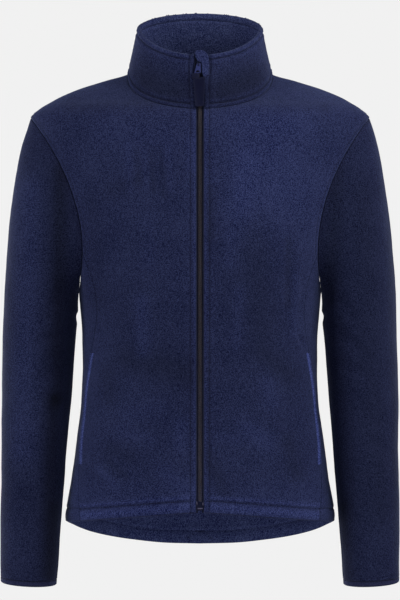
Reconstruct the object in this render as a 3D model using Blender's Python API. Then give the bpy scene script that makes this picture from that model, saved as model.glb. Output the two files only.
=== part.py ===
"""Fleece zip jacket with a stand collar, filled out as it is when worn.

The cloth is a set of walls sewn edge to edge: two fronts, a back that wraps to seams set forward of
the sides, two set-in sleeves with bound cuffs, a collar, a zip garage and two pocket welts.  The
hard pieces are the zip chain, its bottom box, the slider, and the pull that swings on the slider.

Frame: metres, +Z up, the front faces -Y, and the wearer's left is +X.  The origin lies between the
shoulders at the height of the neck points, where the wearer carries the jacket.
"""

import math

import bmesh
import bpy
import numpy as np
from mathutils import Matrix, Vector

# ---------------------------------------------------------------------------------------------
# Driving dimensions, metres and degrees
# ---------------------------------------------------------------------------------------------
CLOTH = 0.0025  # fleece, pile included
COLLAR_CLOTH = 0.0045  # the collar is two layers
BINDING_CLOTH = 0.0030
SEAM_GAP = 0.0004
CONTACT_GAP = 0.0003
MOST_MITRE = 1.65  # a seam's wall direction grows by at most this where two pieces meet at an angle
LEAST_CORNER = 0.35  # and its step back from the seam at a corner is at most the gap over this

FRONT_OPENING = 0.0110  # between the two front edges
BODY_ROUNDNESS = 2.2  # exponent of the body's sections: 2 is an ellipse

NECK_HALF_WIDTH = 0.1015
NECK_FRONT_HEIGHT = -0.0462
NECK_SIDE_HEIGHT = 0.0040
NECK_BACK_HEIGHT = 0.0220
NECK_FRONT_SCOOP = 0.8  # below 1 the front of the neck seam runs lower and rounder

COLLAR_TOP_HALF_WIDTH = 0.087
COLLAR_TOP_FRONT = -0.084
COLLAR_TOP_BACK = 0.060
COLLAR_TOP_FRONT_HEIGHT = 0.0254
COLLAR_TOP_SIDE_HEIGHT = 0.0700
COLLAR_TOP_BACK_HEIGHT = 0.0933
COLLAR_FRONT_SCOOP = 1.25  # above 1 the collar's edge drops only near the zip
ZIP_LEAN_SPREAD = 40.0  # degrees round the collar that the zip's lean takes in
# The closed zip leans to the wearer's right inside the collar; rise runs from its foot to its edge.
ZIP_LEAN = (
    # rise, shift
    (0.00, 0.0000),
    (0.25, -0.0003),
    (0.45, -0.0012),
    (0.62, -0.0021),
    (0.80, -0.0022),
    (1.00, -0.0016),
)

ARMHOLE_TOP = (0.237, -0.058)  # x and z of the shoulder tip
ARMHOLE_BOTTOM = (0.1695, -0.300)
ARMHOLE_FRONT_SCOOP = 0.031
ARMHOLE_BACK_SCOOP = 0.022
ARMHOLE_SEAM_TURN = 124.0  # the forward side seam meets the armhole this far round from its top

YOKE_FRONT_HEIGHT = -0.235  # the grid line across the chest, at the zip
YOKE_BACK_HEIGHT = -0.235

# Rows of the body from hem to neck: the half width, and how far the front and back stand out.
TORSO = (
    # height, half_width, front, back
    (-0.665, 0.1890, 0.130, 0.1270),
    (-0.640, 0.1885, 0.130, 0.1260),
    (-0.613, 0.1880, 0.130, 0.1240),
    (-0.559, 0.1798, 0.127, 0.1180),
    (-0.505, 0.1725, 0.124, 0.1090),
    (-0.452, 0.1656, 0.122, 0.1020),
    (-0.407, 0.1640, 0.121, 0.0990),
    (-0.368, 0.1644, 0.123, 0.1010),
    (-0.320, 0.1681, 0.126, 0.1045),
    (-0.300, 0.1697, 0.1268, 0.1060),
    (-0.272, 0.1745, 0.127, 0.1080),
    (-0.225, 0.1860, 0.126, 0.1100),
    (-0.165, 0.2060, 0.121, 0.1090),
    (-0.120, 0.2200, 0.116, 0.1060),
    (-0.080, 0.2320, 0.109, 0.1010),
    (-0.0580, 0.2370, 0.101, 0.0970),
    (-0.0445, 0.2240, 0.091, 0.0935),
    (-0.0360, 0.2100, 0.078, 0.0905),
    (-0.0284, 0.1960, 0.067, 0.0880),
    (-0.0168, 0.1684, 0.049, 0.0830),
    (-0.0078, 0.1404, 0.033, 0.0775),
    (-0.0037, 0.1264, 0.025, 0.0745),
    (0.0005, 0.1100, 0.018, 0.0720),
    (0.004, 0.1015, 0.015, 0.0705),
    (0.012, 0.0990, 0.014, 0.0660),
    (0.022, 0.0940, 0.012, 0.0620),
)

# The hem's height round the body, measured from the front centre: a short front and a drop tail.
HEM = (
    # turn, height
    (0.0, -0.6020),
    (38.0, -0.6120),
    (63.0, -0.6175),
    (90.0, -0.6210),
    (104.6, -0.6264),
    (116.9, -0.6342),
    (125.5, -0.6400),
    (139.0, -0.6480),
    (150.1, -0.6534),
    (168.6, -0.6599),
    (180.0, -0.6610),
)

# The forward side seam, from hem to armhole; the turn is measured from the front centre.
SIDE_SEAM = (
    # height, turn
    (-0.640, 60.0),
    (-0.608, 60.6),
    (-0.588, 64.0),
    (-0.545, 70.0),
    (-0.500, 73.8),
    (-0.450, 75.0),
    (-0.429, 73.0),
    (-0.393, 67.6),
    (-0.373, 63.8),
    (-0.351, 60.4),
    (-0.324, 57.6),
    (-0.290, 58.8),
)

# Soft vertical drapes of the body: the turn is signed, + on the wearer's left, depth is inwards.
BODY_FOLDS = (
    # turn, half_spread, top, bottom, depth
    (33.0, 11.0, -0.20, -0.52, 0.0035),
    (52.0, 9.0, -0.34, -0.66, 0.0030),
    (-28.0, 10.0, -0.26, -0.62, 0.0035),
    (-50.0, 9.0, -0.16, -0.44, 0.0030),
    (151.0, 12.0, -0.16, -0.50, 0.0045),
    (-146.0, 13.0, -0.22, -0.60, 0.0045),
    (178.0, 12.0, -0.34, -0.58, 0.0035),
)

# Rings of the sleeve from the armhole to the cuff binding.
SLEEVE = (
    # ring, inner_x, inner_z, outer_x, outer_z, middle_y, half_depth
    (0, 0.1695, -0.3000, 0.2370, -0.0580, -0.006, 0.0600),
    (1, 0.1703, -0.3060, 0.2495, -0.0980, -0.005, 0.0620),
    (2, 0.1708, -0.3120, 0.2578, -0.1450, -0.004, 0.0630),
    (3, 0.1710, -0.3180, 0.2654, -0.1980, -0.003, 0.0630),
    (4, 0.1708, -0.3270, 0.2706, -0.2520, -0.002, 0.0620),
    (5, 0.1717, -0.3420, 0.2740, -0.3120, -0.001, 0.0610),
    (6, 0.1745, -0.3720, 0.2754, -0.3680, 0.000, 0.0585),
    (7, 0.1785, -0.4250, 0.2770, -0.4250, 0.000, 0.0550),
    (8, 0.1833, -0.4800, 0.2776, -0.4800, -0.003, 0.0520),
    (9, 0.1871, -0.5350, 0.2777, -0.5350, -0.009, 0.0485),
    (10, 0.1912, -0.5900, 0.2775, -0.5900, -0.017, 0.0445),
    (11, 0.1951, -0.6450, 0.2772, -0.6450, -0.026, 0.0405),
    (12, 0.1989, -0.6995, 0.2771, -0.6960, -0.035, 0.0365),
    (13, 0.1993, -0.7068, 0.2768, -0.7030, -0.036, 0.0362),
)
SLEEVE_END = 12
BINDING_END = 13
ARMHOLE_FADE_RINGS = 3.0  # rings over which the armhole's own curve becomes a plain ring
CUFF_FRONT_DROP = 0.0025  # the cuff's front hangs lower than its back

# Bends of the elbow: the turn round the sleeve is 0 at its outer side and 90 at its front.
SLEEVE_FOLDS = (
    # turn, half_spread, ring, half_rings, depth
    (110.0, 55.0, 6.6, 0.55, 0.0030),
    (75.0, 50.0, 7.9, 0.60, 0.0025),
    (200.0, 60.0, 4.6, 0.60, 0.0025),
)

# The grids that the panels are made on
FRONT_SHARES = (0.0, 0.064, 0.17, 0.28, 0.39, 0.50, 0.61, 0.73, 0.85, 0.957, 1.0)
NECK_EDGE_TURN = math.degrees(math.asin(FRONT_OPENING / 2 / NECK_HALF_WIDTH))
NECK_FRONT_TURNS = (NECK_EDGE_TURN, 10.5, 30.0, 50.0, 70.0, 90.0)
NECK_BACK_TURNS = (90.0, 100.0, 115.0, 135.0, 158.0, 180.0)
SHOULDER_SHARES = (0.13, 0.34, 0.57, 0.80, 1.0)
LOWER_ROWS = 13
UPPER_ROWS = 9
UNDERARM_STEPS = 4
COLLAR_ROWS = (0.0, 0.25, 0.45, 0.62, 0.80, 1.0)
SLEEVE_RINGS = (0, 0.5, 1, 1.5, 2, 3, 4, 5, 6, 6.6, 7.2, 8, 9, 10, 11, SLEEVE_END)

# Pocket welts, on the fronts' last grid column, beside the side seam
WELT_TOP = -0.384
WELT_BOTTOM = -0.541
WELT_THICKNESS = 0.0015
LEAST_STEP = 0.004  # between the ends of a welt or chain and the grid rows that shape it

# Zip: a 5 mm chain on woven tapes
CHAIN_WIDTH = 0.0052
CHAIN_FRONT = 0.0019  # behind the cloth's face
CHAIN_BACK = 0.0041
TAPE_THICKNESS = 0.0008
TAPE_INNER = 0.0029  # from the zip's centre
TAPE_REACH = 0.80  # of the first panel column behind the cloth
TAPE_COLLAR_OUTER = 0.0047
TAPE_SHOULDER = 0.80  # the wide tape stops this far up the last body row
TAPE_NARROWS = 0.20  # and is narrow this far from there to the neck
BOX_HALF_WIDTH = 0.0050
BOX_LENGTH = 0.0125
BOX_FRONT = -0.0002
BOX_BACK = 0.0025
BOX_BASE_HEIGHT = -0.5992
BOX_CORNER = 0.0010

# Slider: Y runs up the zip from its middle, Z out from the cloth's face
SLIDER_HEIGHT = 0.0070  # world z of the slider's middle
SLIDER_HALF_LENGTH = 0.0073
SLIDER_HALF_WIDTH = 0.0036
SLIDER_TOP_HALF_WIDTH = 0.0023
SLIDER_CORNER = 0.0010
SLIDER_FACE = 0.0016
SLIDER_FACE_BACK = -0.0013
SLIDER_BACK = (-0.0058, -0.0044)
SLIDER_POST_HALF_WIDTH = 0.0019
SLIDER_POST = (0.0010, 0.0060)
BRIDGE_HALF_WIDTH = 0.00075
BRIDGE_REACH = 0.00195  # of the arch over the hinge axis
BRIDGE_INSIDE = 0.00115
BRIDGE_ROUND = 0.0009
BRIDGE_FOOT = 0.0004  # into the slider's face

# Pull: Y runs up from the hinge axis, across the bridge
PULL_AXIS_UP = 0.0052  # above the slider's middle
PULL_AXIS_OUT = SLIDER_FACE + BRIDGE_INSIDE
PULL_LEAN = 1.5  # degrees out from the collar, over the chest's rise
BAIL_THICKNESS = 0.0012
EYE_HALF_WIDTH = 0.0011
EYE = (-0.00245, -0.00055)
ARCH_MIDDLE = -0.0010
ARCH_HALF_WIDTH = 0.0028
ARCH_BASE = -0.0116
ARCH_STEPS = 8
TONGUE_LEFT = -0.0050  # the tongue is inside the tag's head
TONGUE_RIGHT = 0.0002
TONGUE_END = -0.0160
BAIL_BASE = -0.0126
BAIL_OUTLINE = (
    # x, y, corner_radius
    (-0.0022, 0.00075, 0.0006),
    (-0.0059, BAIL_BASE, 0.0008),
    (TONGUE_LEFT, BAIL_BASE, 0.0),
    (TONGUE_LEFT, TONGUE_END, 0.0003),
    (TONGUE_RIGHT, TONGUE_END, 0.0003),
    (TONGUE_RIGHT, BAIL_BASE, 0.0),
    (0.0029, BAIL_BASE, 0.0008),
    (0.0028, 0.00075, 0.0006),
)
TAG_THICKNESS = 0.0024
TAG_OUTLINE = (
    # x, y, corner_radius
    (-0.0073, -0.0190, 0.0012),
    (-0.0043, -0.0598, 0.0016),
    (0.0078, -0.0590, 0.0016),
    (0.0091, -0.0182, 0.0012),
)
TAG_HEAD_THICKNESS = 0.0032
TAG_HEAD_OUTLINE = (
    # x, y, corner_radius
    (-0.0087, -0.0129, 0.0008),
    (-0.0087, -0.0199, 0.0008),
    (0.0012, -0.0199, 0.0008),
    (0.0012, -0.0129, 0.0008),
)
CORNER_STEPS = 3

# Garage: x from the slider's middle, above from the collar's front edge
GARAGE_CLOTH = 0.0020
GARAGE_CURVE = 0.0010  # the collar curves back this far behind its flat front flap
GARAGE_RISE = 0.0009  # from the collar's edge at the zip to the inside of the fold
GARAGE_INSIDE_REACH = 0.0100  # how far its inner flap runs down behind the collar
GARAGE_OUTLINE = (
    # x, above, corner_radius
    (-0.0047, 0.0018, 0.0012),
    (-0.0040, -0.0042, 0.0010),
    (-0.0014, -0.0075, 0.0008),
    (-0.0010, -0.0098, 0.0005),
    (0.0028, -0.0098, 0.0010),
    (0.0042, -0.0140, 0.0015),
    (0.0042, -0.0252, 0.0010),
    (0.0076, -0.0312, 0.0010),
    (0.0130, -0.0280, 0.0020),
    (0.0144, -0.0140, 0.0030),
    (0.0144, -0.0062, 0.0030),
    (0.0122, 0.0012, 0.0024),
    (0.0088, 0.0050, 0.0024),
    (0.0030, 0.0066, 0.0028),
    (-0.0026, 0.0062, 0.0016),
)

COLOURS = {
    # piece: base colour, roughness, metallic
    "fleece": ((0.022, 0.028, 0.075), 0.95, 0.0),
    "fleece_inner": ((0.018, 0.023, 0.062), 0.95, 0.0),
    "binding": ((0.018, 0.022, 0.060), 0.85, 0.0),
    "zip_tape": ((0.010, 0.012, 0.028), 0.80, 0.0),
    "zip_chain": ((0.030, 0.026, 0.030), 0.55, 0.0),
    "zip_metal": ((0.020, 0.034, 0.120), 0.40, 0.6),
    "zip_rubber": ((0.010, 0.011, 0.030), 0.60, 0.0),
}


# ---------------------------------------------------------------------------------------------
# Scene
# ---------------------------------------------------------------------------------------------
def clear_scene():
    for old in list(bpy.data.objects):
        bpy.data.objects.remove(old, do_unlink=True)


def new_collection(name):
    made = bpy.data.collections.new(name)
    bpy.context.scene.collection.children.link(made)
    return made


def finish_of(name):
    """The Principled material of one finish, made once."""
    found = bpy.data.materials.get(name)
    if found:
        return found
    colour, roughness, metallic = COLOURS[name]
    made = bpy.data.materials.new(name)
    made.use_nodes = True
    shader = made.node_tree.nodes["Principled BSDF"]
    shader.inputs["Base Color"].default_value = (*colour, 1.0)
    shader.inputs["Roughness"].default_value = roughness
    shader.inputs["Metallic"].default_value = metallic
    return made


def add_object(name, mesh, collection, finish=None):
    made = bpy.data.objects.new(name, mesh)
    collection.objects.link(made)
    if finish:
        mesh.materials.append(finish_of(finish))
    return made


# ---------------------------------------------------------------------------------------------
# Curves through tables
# ---------------------------------------------------------------------------------------------
def track(rows, column):
    """A smooth run through one column of a table against its first, with no overshoot."""
    rows = sorted(rows)
    at = np.array([row[0] for row in rows], float)
    value = np.array([row[column] for row in rows], float)
    step = np.diff(at)
    slope = np.diff(value) / step
    turns = slope[:-1] * slope[1:] <= 0
    total = np.where(turns, 1.0, slope[:-1] + slope[1:])
    tangent = np.concatenate([slope[:1], 2 * slope[:-1] * slope[1:] / total, slope[-1:]])
    tangent[1:-1][turns] = 0.0

    def read(where):
        where = min(max(where, at[0]), at[-1])
        k = min(int(np.searchsorted(at, where, side="right")) - 1, len(step) - 1)
        t = (where - at[k]) / step[k]
        start = (1 + 2 * t) * (1 - t) ** 2 * value[k] + t * (1 - t) ** 2 * step[k] * tangent[k]
        end = t * t * (3 - 2 * t) * value[k + 1] + t * t * (t - 1) * step[k] * tangent[k + 1]
        return start + end

    return read


half_width = track(TORSO, 1)
front_depth = track(TORSO, 2)
back_depth = track(TORSO, 3)
hem_height = track(HEM, 1)
ridge_height = track([(row[1], row[0]) for row in TORSO if row[0] >= ARMHOLE_TOP[1]], 1)
sleeve_ring = [track(SLEEVE, column) for column in range(1, 7)]
zip_lean = track(ZIP_LEAN, 1)


def blend(a, b, share):
    return a + (b - a) * share


def bump(distance, reach):
    """A smooth hump of height 1, which is 0 from reach on."""
    return (1 - (distance / reach) ** 2) ** 2 if abs(distance) < reach else 0.0


# ---------------------------------------------------------------------------------------------
# The body's form.  A place on it is (turn, height): the turn runs from 0 at the front centre to
# 180 at the back centre, and is negative on the wearer's right.
# ---------------------------------------------------------------------------------------------
def fold_depth(turn, height):
    depth = 0.0
    for fold_turn, spread, top, bottom, deep in BODY_FOLDS:
        apart = (turn - fold_turn + 180.0) % 360.0 - 180.0
        along = height - (top + bottom) / 2
        depth += deep * bump(apart, 2 * spread) * bump(along, (top - bottom) / 2)
    return depth


def body_point(turn, height):
    across = abs(math.sin(math.radians(turn))) ** (2 / BODY_ROUNDNESS)
    cosine = math.cos(math.radians(turn))
    along = abs(cosine) ** (2 / BODY_ROUNDNESS)
    depth = -front_depth(height) if cosine > 0 else back_depth(height)
    sink = fold_depth(turn, height)
    x = math.copysign(half_width(height) * across, turn) - sink * math.sin(math.radians(turn))
    return np.array([x, depth * along + sink * cosine, height])


def turn_at(x, height):
    """The turn, 0 to 90, at which a section is x wide."""
    share = min(x / half_width(height), 1.0)
    return math.degrees(math.asin(min(share ** (BODY_ROUNDNESS / 2), 1.0)))


def edge_turn(height):
    return turn_at(FRONT_OPENING / 2, height)


def armhole_place(turn):
    """Place of the armhole seam, by the turn round it: 0 at the shoulder tip, 90 at the front."""
    cosine = math.cos(math.radians(turn))
    middle_x = (ARMHOLE_TOP[0] + ARMHOLE_BOTTOM[0]) / 2
    middle_z = (ARMHOLE_TOP[1] + ARMHOLE_BOTTOM[1]) / 2
    height = middle_z + (ARMHOLE_TOP[1] - ARMHOLE_BOTTOM[1]) / 2 * cosine
    scoop = ARMHOLE_FRONT_SCOOP if turn <= 180 else ARMHOLE_BACK_SCOOP
    x = middle_x + (ARMHOLE_TOP[0] - ARMHOLE_BOTTOM[0]) / 2 * cosine - scoop * (1 - cosine**2)
    at = turn_at(x, height)
    return np.array([at if turn <= 180 else 180 - at, height])


def side_seam_track():
    """The side seam's turn against its height, with its end on the armhole."""
    end_turn, end_height = armhole_place(ARMHOLE_SEAM_TURN)
    return track([*SIDE_SEAM, (end_height, end_turn)], 1)


seam_turn = side_seam_track()


def neck_place(turn):
    """Place of the neck seam, by the turn round the neck."""
    sine = math.sin(math.radians(turn))
    cosine = math.cos(math.radians(turn))
    if turn <= 90:
        height = blend(NECK_SIDE_HEIGHT, NECK_FRONT_HEIGHT, abs(cosine) ** NECK_FRONT_SCOOP)
    else:
        height = blend(NECK_SIDE_HEIGHT, NECK_BACK_HEIGHT, abs(cosine))
    at = turn_at(NECK_HALF_WIDTH * sine, height)
    return np.array([at if turn <= 90 else 180 - at, height])


def shoulder_place(share):
    """Place on the shoulder seam: share 0 at the neck point, 1 at the tip."""
    x = blend(NECK_HALF_WIDTH, ARMHOLE_TOP[0], share)
    return np.array([90.0, ridge_height(x)])


def points_of(places, side):
    """The points of a grid of places; side is 1 for the wearer's left, -1 for the right."""
    return np.array([[body_point(side * turn, height) for turn, height in row] for row in places])


# ---------------------------------------------------------------------------------------------
# Grids of places for the front and for half of the back
# ---------------------------------------------------------------------------------------------
def coons(bottom, top, left, right, column_shares):
    """The grid of places between four edges, by the usual transfinite rule."""
    rows = []
    last = len(left) - 1
    for j, (west, east) in enumerate(zip(left, right)):
        t = j / last
        row = []
        for i, s in enumerate(column_shares):
            ruled = blend(bottom[i], top[i], t) + blend(west, east, s)
            corners = blend(blend(bottom[0], bottom[-1], s), blend(top[0], top[-1], s), t)
            row.append(ruled - corners)
        rows.append(row)
    return np.array(rows)


def place_outside(point):
    """The body's place that lies straight out from a point inside it."""
    x, y, height = point
    depth = front_depth(height) if y < 0 else back_depth(height)
    across = abs(x / half_width(height)) ** (BODY_ROUNDNESS / 2)
    along = abs(y / depth) ** (BODY_ROUNDNESS / 2)
    at = math.degrees(math.atan2(across, along))
    return np.array([at if y < 0 else 180 - at, height])


def upper_places(bottom, top, left, right, column_shares):
    """The grid between four edges of an upper panel, spread evenly over the body's surface."""
    edges = [[body_point(*place) for place in edge] for edge in (bottom, top, left, right)]
    grid = coons(*edges, column_shares)
    places = np.array([[place_outside(point) for point in row] for row in grid])
    places[0] = bottom
    places[-1] = top
    places[:, 0] = left
    places[:, -1] = right
    return places


def front_places():
    seam_end = armhole_place(ARMHOLE_SEAM_TURN)
    lower = []
    for j in range(LOWER_ROWS + 1):
        up = j / LOWER_ROWS
        row = []
        for share in FRONT_SHARES:
            hem = hem_height(blend(1.0, SIDE_SEAM[1][1], share))
            top = blend(YOKE_FRONT_HEIGHT, seam_end[1], share * share)
            height = blend(hem, top, up)
            row.append((blend(edge_turn(height), seam_turn(height), share), height))
        lower.append(row)
    lower = np.array(lower)
    left = []
    right = []
    for j in range(UPPER_ROWS + 1):
        height = blend(YOKE_FRONT_HEIGHT, NECK_FRONT_HEIGHT, j / UPPER_ROWS)
        left.append(np.array([edge_turn(height), height]))
        right.append(armhole_place(ARMHOLE_SEAM_TURN * (1 - j / UPPER_ROWS)))
    top = [neck_place(turn) for turn in NECK_FRONT_TURNS]
    top += [shoulder_place(share) for share in SHOULDER_SHARES]
    left[-1] = top[0]
    right[0] = lower[-1][-1]
    upper = upper_places(lower[-1], top, left, right, FRONT_SHARES)
    return np.concatenate([lower, upper[1:]])


def back_places():
    """Half of the back: the block below the armhole, and the one above it."""
    back_columns = len(SHOULDER_SHARES) + len(NECK_BACK_TURNS) - 1
    under_turns = np.linspace(ARMHOLE_SEAM_TURN, 360 - ARMHOLE_SEAM_TURN, UNDERARM_STEPS + 1)
    tops = [armhole_place(turn) for turn in under_turns]
    for k in range(1, back_columns + 1):
        share = k / back_columns
        tops.append(blend(tops[UNDERARM_STEPS], np.array([180.0, YOKE_BACK_HEIGHT]), share))
    last = len(tops) - 1
    lower = []
    for j in range(LOWER_ROWS + 1):
        up = j / LOWER_ROWS
        row = []
        for k, (top_turn, top_height) in enumerate(tops):
            even = k / last
            hem = hem_height(blend(SIDE_SEAM[1][1], 180.0, even))
            height = blend(hem, top_height, up)
            start = seam_turn(top_height)
            share = blend(even, (top_turn - start) / (180.0 - start), up)
            row.append((blend(seam_turn(height), 180.0, share), height))
        lower.append(row)
    lower = np.array(lower)
    left = []
    right = []
    for j in range(UPPER_ROWS + 1):
        share = j / UPPER_ROWS
        left.append(armhole_place(blend(360 - ARMHOLE_SEAM_TURN, 360, share)))
        right.append(np.array([180.0, blend(YOKE_BACK_HEIGHT, NECK_BACK_HEIGHT, share)]))
    top = [shoulder_place(share) for share in SHOULDER_SHARES[::-1]]
    top += [neck_place(turn) for turn in NECK_BACK_TURNS]
    shares = [k / back_columns for k in range(back_columns + 1)]
    left[0] = lower[-1][UNDERARM_STEPS]
    left[-1] = top[0]
    upper = upper_places(lower[-1][UNDERARM_STEPS:], top, left, right, shares)
    return lower, upper


# ---------------------------------------------------------------------------------------------
# Cloth pieces
# ---------------------------------------------------------------------------------------------
class Cloth:
    """A piece of cloth as its outer face: points, four-sided faces and its thickness."""

    def __init__(self, name, patches, thickness, finish):
        self.name = name
        self.finish = finish
        self.points = []
        self.quads = []
        self.index = {}
        for patch in patches:
            self.add_patch(patch)
        self.points = np.array(self.points)
        self.quads = np.array(self.quads)
        self.thickness = np.full((len(self.points), 1), thickness)
        self.normals = self.face_directions()

    def add_patch(self, patch):
        at = [[self.point_index(point) for point in row] for row in patch]
        for low, high in zip(at, at[1:]):
            for i in range(len(low) - 1):
                self.quads.append((low[i], low[i + 1], high[i + 1], high[i]))

    def point_index(self, point):
        key = place_key(point)
        if key not in self.index:
            self.index[key] = len(self.points)
            self.points.append(np.array(point))
        return self.index[key]

    def face_directions(self):
        """Outward directions at the points, from the faces round each."""
        corners = [self.points[self.quads[:, k]] for k in range(4)]
        face = np.cross(corners[2] - corners[0], corners[3] - corners[1])
        total = np.zeros_like(self.points)
        for k in range(4):
            np.add.at(total, self.quads[:, k], face)
        return total / np.linalg.norm(total, axis=1, keepdims=True)

    def edges(self):
        """The open edges, each as (start, end) in the faces' order."""
        directed = set()
        for quad in self.quads:
            for k in range(4):
                directed.add((int(quad[k]), int(quad[(k + 1) % 4])))
        return sorted(edge for edge in directed if (edge[1], edge[0]) not in directed)


def place_key(point):
    return tuple(int(round(value * 1e7)) for value in point)


def sew(pieces):
    """Gives every piece its wall.  Where pieces meet, their walls share one mitred direction."""
    directions = {}
    for piece in pieces:
        for point, normal in zip(piece.points, piece.normals):
            directions.setdefault(place_key(point), []).append(normal)
    mitres = {}
    for key, normals in directions.items():
        total = np.sum(normals, axis=0)
        mitre = total / np.linalg.norm(total)
        least = min(float(mitre @ normal) for normal in normals)
        mitres[key] = mitre * min(1 / max(least, 1e-3), MOST_MITRE)
    for piece in pieces:
        keys = [place_key(point) for point in piece.points]
        piece.mitres = np.array([mitres[key] for key in keys])
        sewn = [len(directions[key]) > 1 for key in keys]
        piece.shifts = seam_shifts(piece, sewn)
        piece.outer = piece.points + piece.shifts
        piece.inner = piece.outer - piece.mitres * piece.thickness


def seam_shifts(piece, sewn):
    """Moves a piece's sewn edges back by half of the seam gap, square to the wall."""
    inward = {}
    middle = np.zeros_like(piece.points)
    count = np.zeros(len(piece.points))
    for quad in piece.quads:
        for corner in quad:
            middle[corner] += piece.points[quad].mean(axis=0)
            count[corner] += 1
    for start, end in piece.edges():
        if not (sewn[start] and sewn[end]):
            continue
        along = piece.points[end] - piece.points[start]
        for corner in (start, end):
            square = np.cross(along, piece.mitres[corner])
            square /= np.linalg.norm(square)
            inside = middle[start] / count[start] + middle[end] / count[end]
            inside = inside / 2 - (piece.points[start] + piece.points[end]) / 2
            square *= math.copysign(1, float(square @ inside))
            inward.setdefault(corner, []).append(square)
    shifts = np.zeros_like(piece.points)
    for corner, squares in inward.items():
        total = np.sum(squares, axis=0)
        if len(squares) == 2:
            total = total / max(1 + float(squares[0] @ squares[1]), LEAST_CORNER)
        shifts[corner] = total * SEAM_GAP / 2
    return shifts


def halves(points, quad):
    """The two triangles of a four-sided face, on each side of its shorter diagonal."""
    a, b, c, d = (int(k) for k in quad)
    if np.linalg.norm(points[a] - points[c]) <= np.linalg.norm(points[b] - points[d]):
        return (a, b, c), (a, c, d)
    return (a, b, d), (b, c, d)


def wall_mesh(piece):
    """The closed wall of a sewn piece.  Sewn pieces split the faces of a shared edge alike."""
    size = len(piece.points)
    vertices = [tuple(point) for point in np.concatenate([piece.outer, piece.inner])]
    faces = [half for quad in piece.quads for half in halves(piece.outer, quad)]
    faces += [(a + size, c + size, b + size) for a, b, c in faces]
    for start, end in piece.edges():
        if place_key(piece.points[start]) < place_key(piece.points[end]):
            faces += [(end, start, start + size), (end, start + size, end + size)]
        else:
            faces += [(end, start, end + size), (start, start + size, end + size)]
    mesh = bpy.data.meshes.new(piece.name)
    mesh.from_pydata(vertices, [], faces)
    mesh.validate()
    return mesh


def strip_mesh(name, sections):
    """A closed bar through four-cornered sections, each listed counter-clockwise from its end."""
    vertices = [tuple(corner) for section in sections for corner in section]
    faces = [(3, 2, 1, 0)]
    for k in range(len(sections) - 1):
        base = 4 * k
        for i in range(4):
            j = (i + 1) % 4
            quad = (base + i, base + j, base + 4 + j, base + 4 + i)
            faces += halves(np.array(vertices), quad)
    end = 4 * (len(sections) - 1)
    faces.append((end, end + 1, end + 2, end + 3))
    mesh = bpy.data.meshes.new(name)
    mesh.from_pydata(vertices, [], faces)
    solid = bmesh.new()
    solid.from_mesh(mesh)
    bmesh.ops.recalc_face_normals(solid, faces=solid.faces)
    solid.to_mesh(mesh)
    solid.free()
    return mesh


# ---------------------------------------------------------------------------------------------
# Sleeves, cuffs and collar
# ---------------------------------------------------------------------------------------------
def armhole_turns():
    front = np.linspace(0, ARMHOLE_SEAM_TURN, UPPER_ROWS + 1)
    under = np.linspace(ARMHOLE_SEAM_TURN, 360 - ARMHOLE_SEAM_TURN, UNDERARM_STEPS + 1)
    back = np.linspace(360 - ARMHOLE_SEAM_TURN, 360, UPPER_ROWS + 1)
    return list(front) + list(under[1:]) + list(back[1:])


def plain_ring_point(ring, turn):
    inner_x, inner_z, outer_x, outer_z, middle_y, half_depth = (read(ring) for read in sleeve_ring)
    cosine = math.cos(math.radians(turn))
    sine = math.sin(math.radians(turn))
    x = (inner_x + outer_x) / 2 + (outer_x - inner_x) / 2 * cosine
    z = (inner_z + outer_z) / 2 + (outer_z - inner_z) / 2 * cosine
    drop = CUFF_FRONT_DROP * max(sine, 0.0) * min(ring / SLEEVE_END, 1.0) ** 4
    return np.array([x, middle_y - half_depth * sine, z - drop])


def sleeve_point(ring, turn, side):
    """A point of the sleeve, as on the wearer's left; side picks the body that it is sewn to."""
    point = plain_ring_point(ring, turn)
    fade = max(0.0, 1 - ring / ARMHOLE_FADE_RINGS) ** 2
    if fade:
        place_turn, height = armhole_place(turn)
        seam = body_point(side * place_turn, height) * np.array([side, 1.0, 1.0])
        point = point + (seam - plain_ring_point(0, turn)) * fade
    for fold_turn, spread, at, reach, deep in SLEEVE_FOLDS:
        apart = (turn - fold_turn + 180.0) % 360.0 - 180.0
        sink = deep * bump(apart, spread) * bump(ring - at, reach)
        out = np.array([math.cos(math.radians(turn)), -math.sin(math.radians(turn)), 0.0])
        point = point - out * sink
    return point


def mirrored(patch, side):
    """The patch itself on the wearer's left; on the right, turned over and run the other way."""
    return patch if side > 0 else patch[:, ::-1] * np.array([-1.0, 1.0, 1.0])


def sleeve_patch(rings, side):
    turns = armhole_turns()
    turns[-1] = 0.0
    return mirrored(np.array([[sleeve_point(ring, t, side) for t in turns] for ring in rings]), side)


def collar_point(turn, rise):
    """A point of the collar's outer face; the turn is signed and rise runs from foot to edge."""
    around = abs(turn)
    sine = math.sin(math.radians(around))
    cosine = math.cos(math.radians(around))
    side = math.copysign(1, turn)
    place_turn, height = neck_place(around)
    foot = body_point(side * place_turn, height)
    reach = -COLLAR_TOP_FRONT if cosine > 0 else COLLAR_TOP_BACK
    if cosine > 0:
        top = blend(COLLAR_TOP_SIDE_HEIGHT, COLLAR_TOP_FRONT_HEIGHT, cosine**COLLAR_FRONT_SCOOP)
    else:
        top = blend(COLLAR_TOP_SIDE_HEIGHT, COLLAR_TOP_BACK_HEIGHT, -cosine)
    slack = FRONT_OPENING / 2 - COLLAR_TOP_HALF_WIDTH * math.sin(math.radians(NECK_EDGE_TURN))
    across = COLLAR_TOP_HALF_WIDTH * sine + slack * (1 - sine)
    point = blend(foot, np.array([side * across, -reach * cosine, top]), rise)
    point[0] += zip_lean(rise) * bump(around, ZIP_LEAN_SPREAD)
    return point


def collar_patch():
    half = list(NECK_FRONT_TURNS) + list(NECK_BACK_TURNS[1:])
    turns = half + [-turn for turn in half[-2::-1]]
    return np.array([[collar_point(turn, share) for turn in turns] for share in COLLAR_ROWS])


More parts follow.
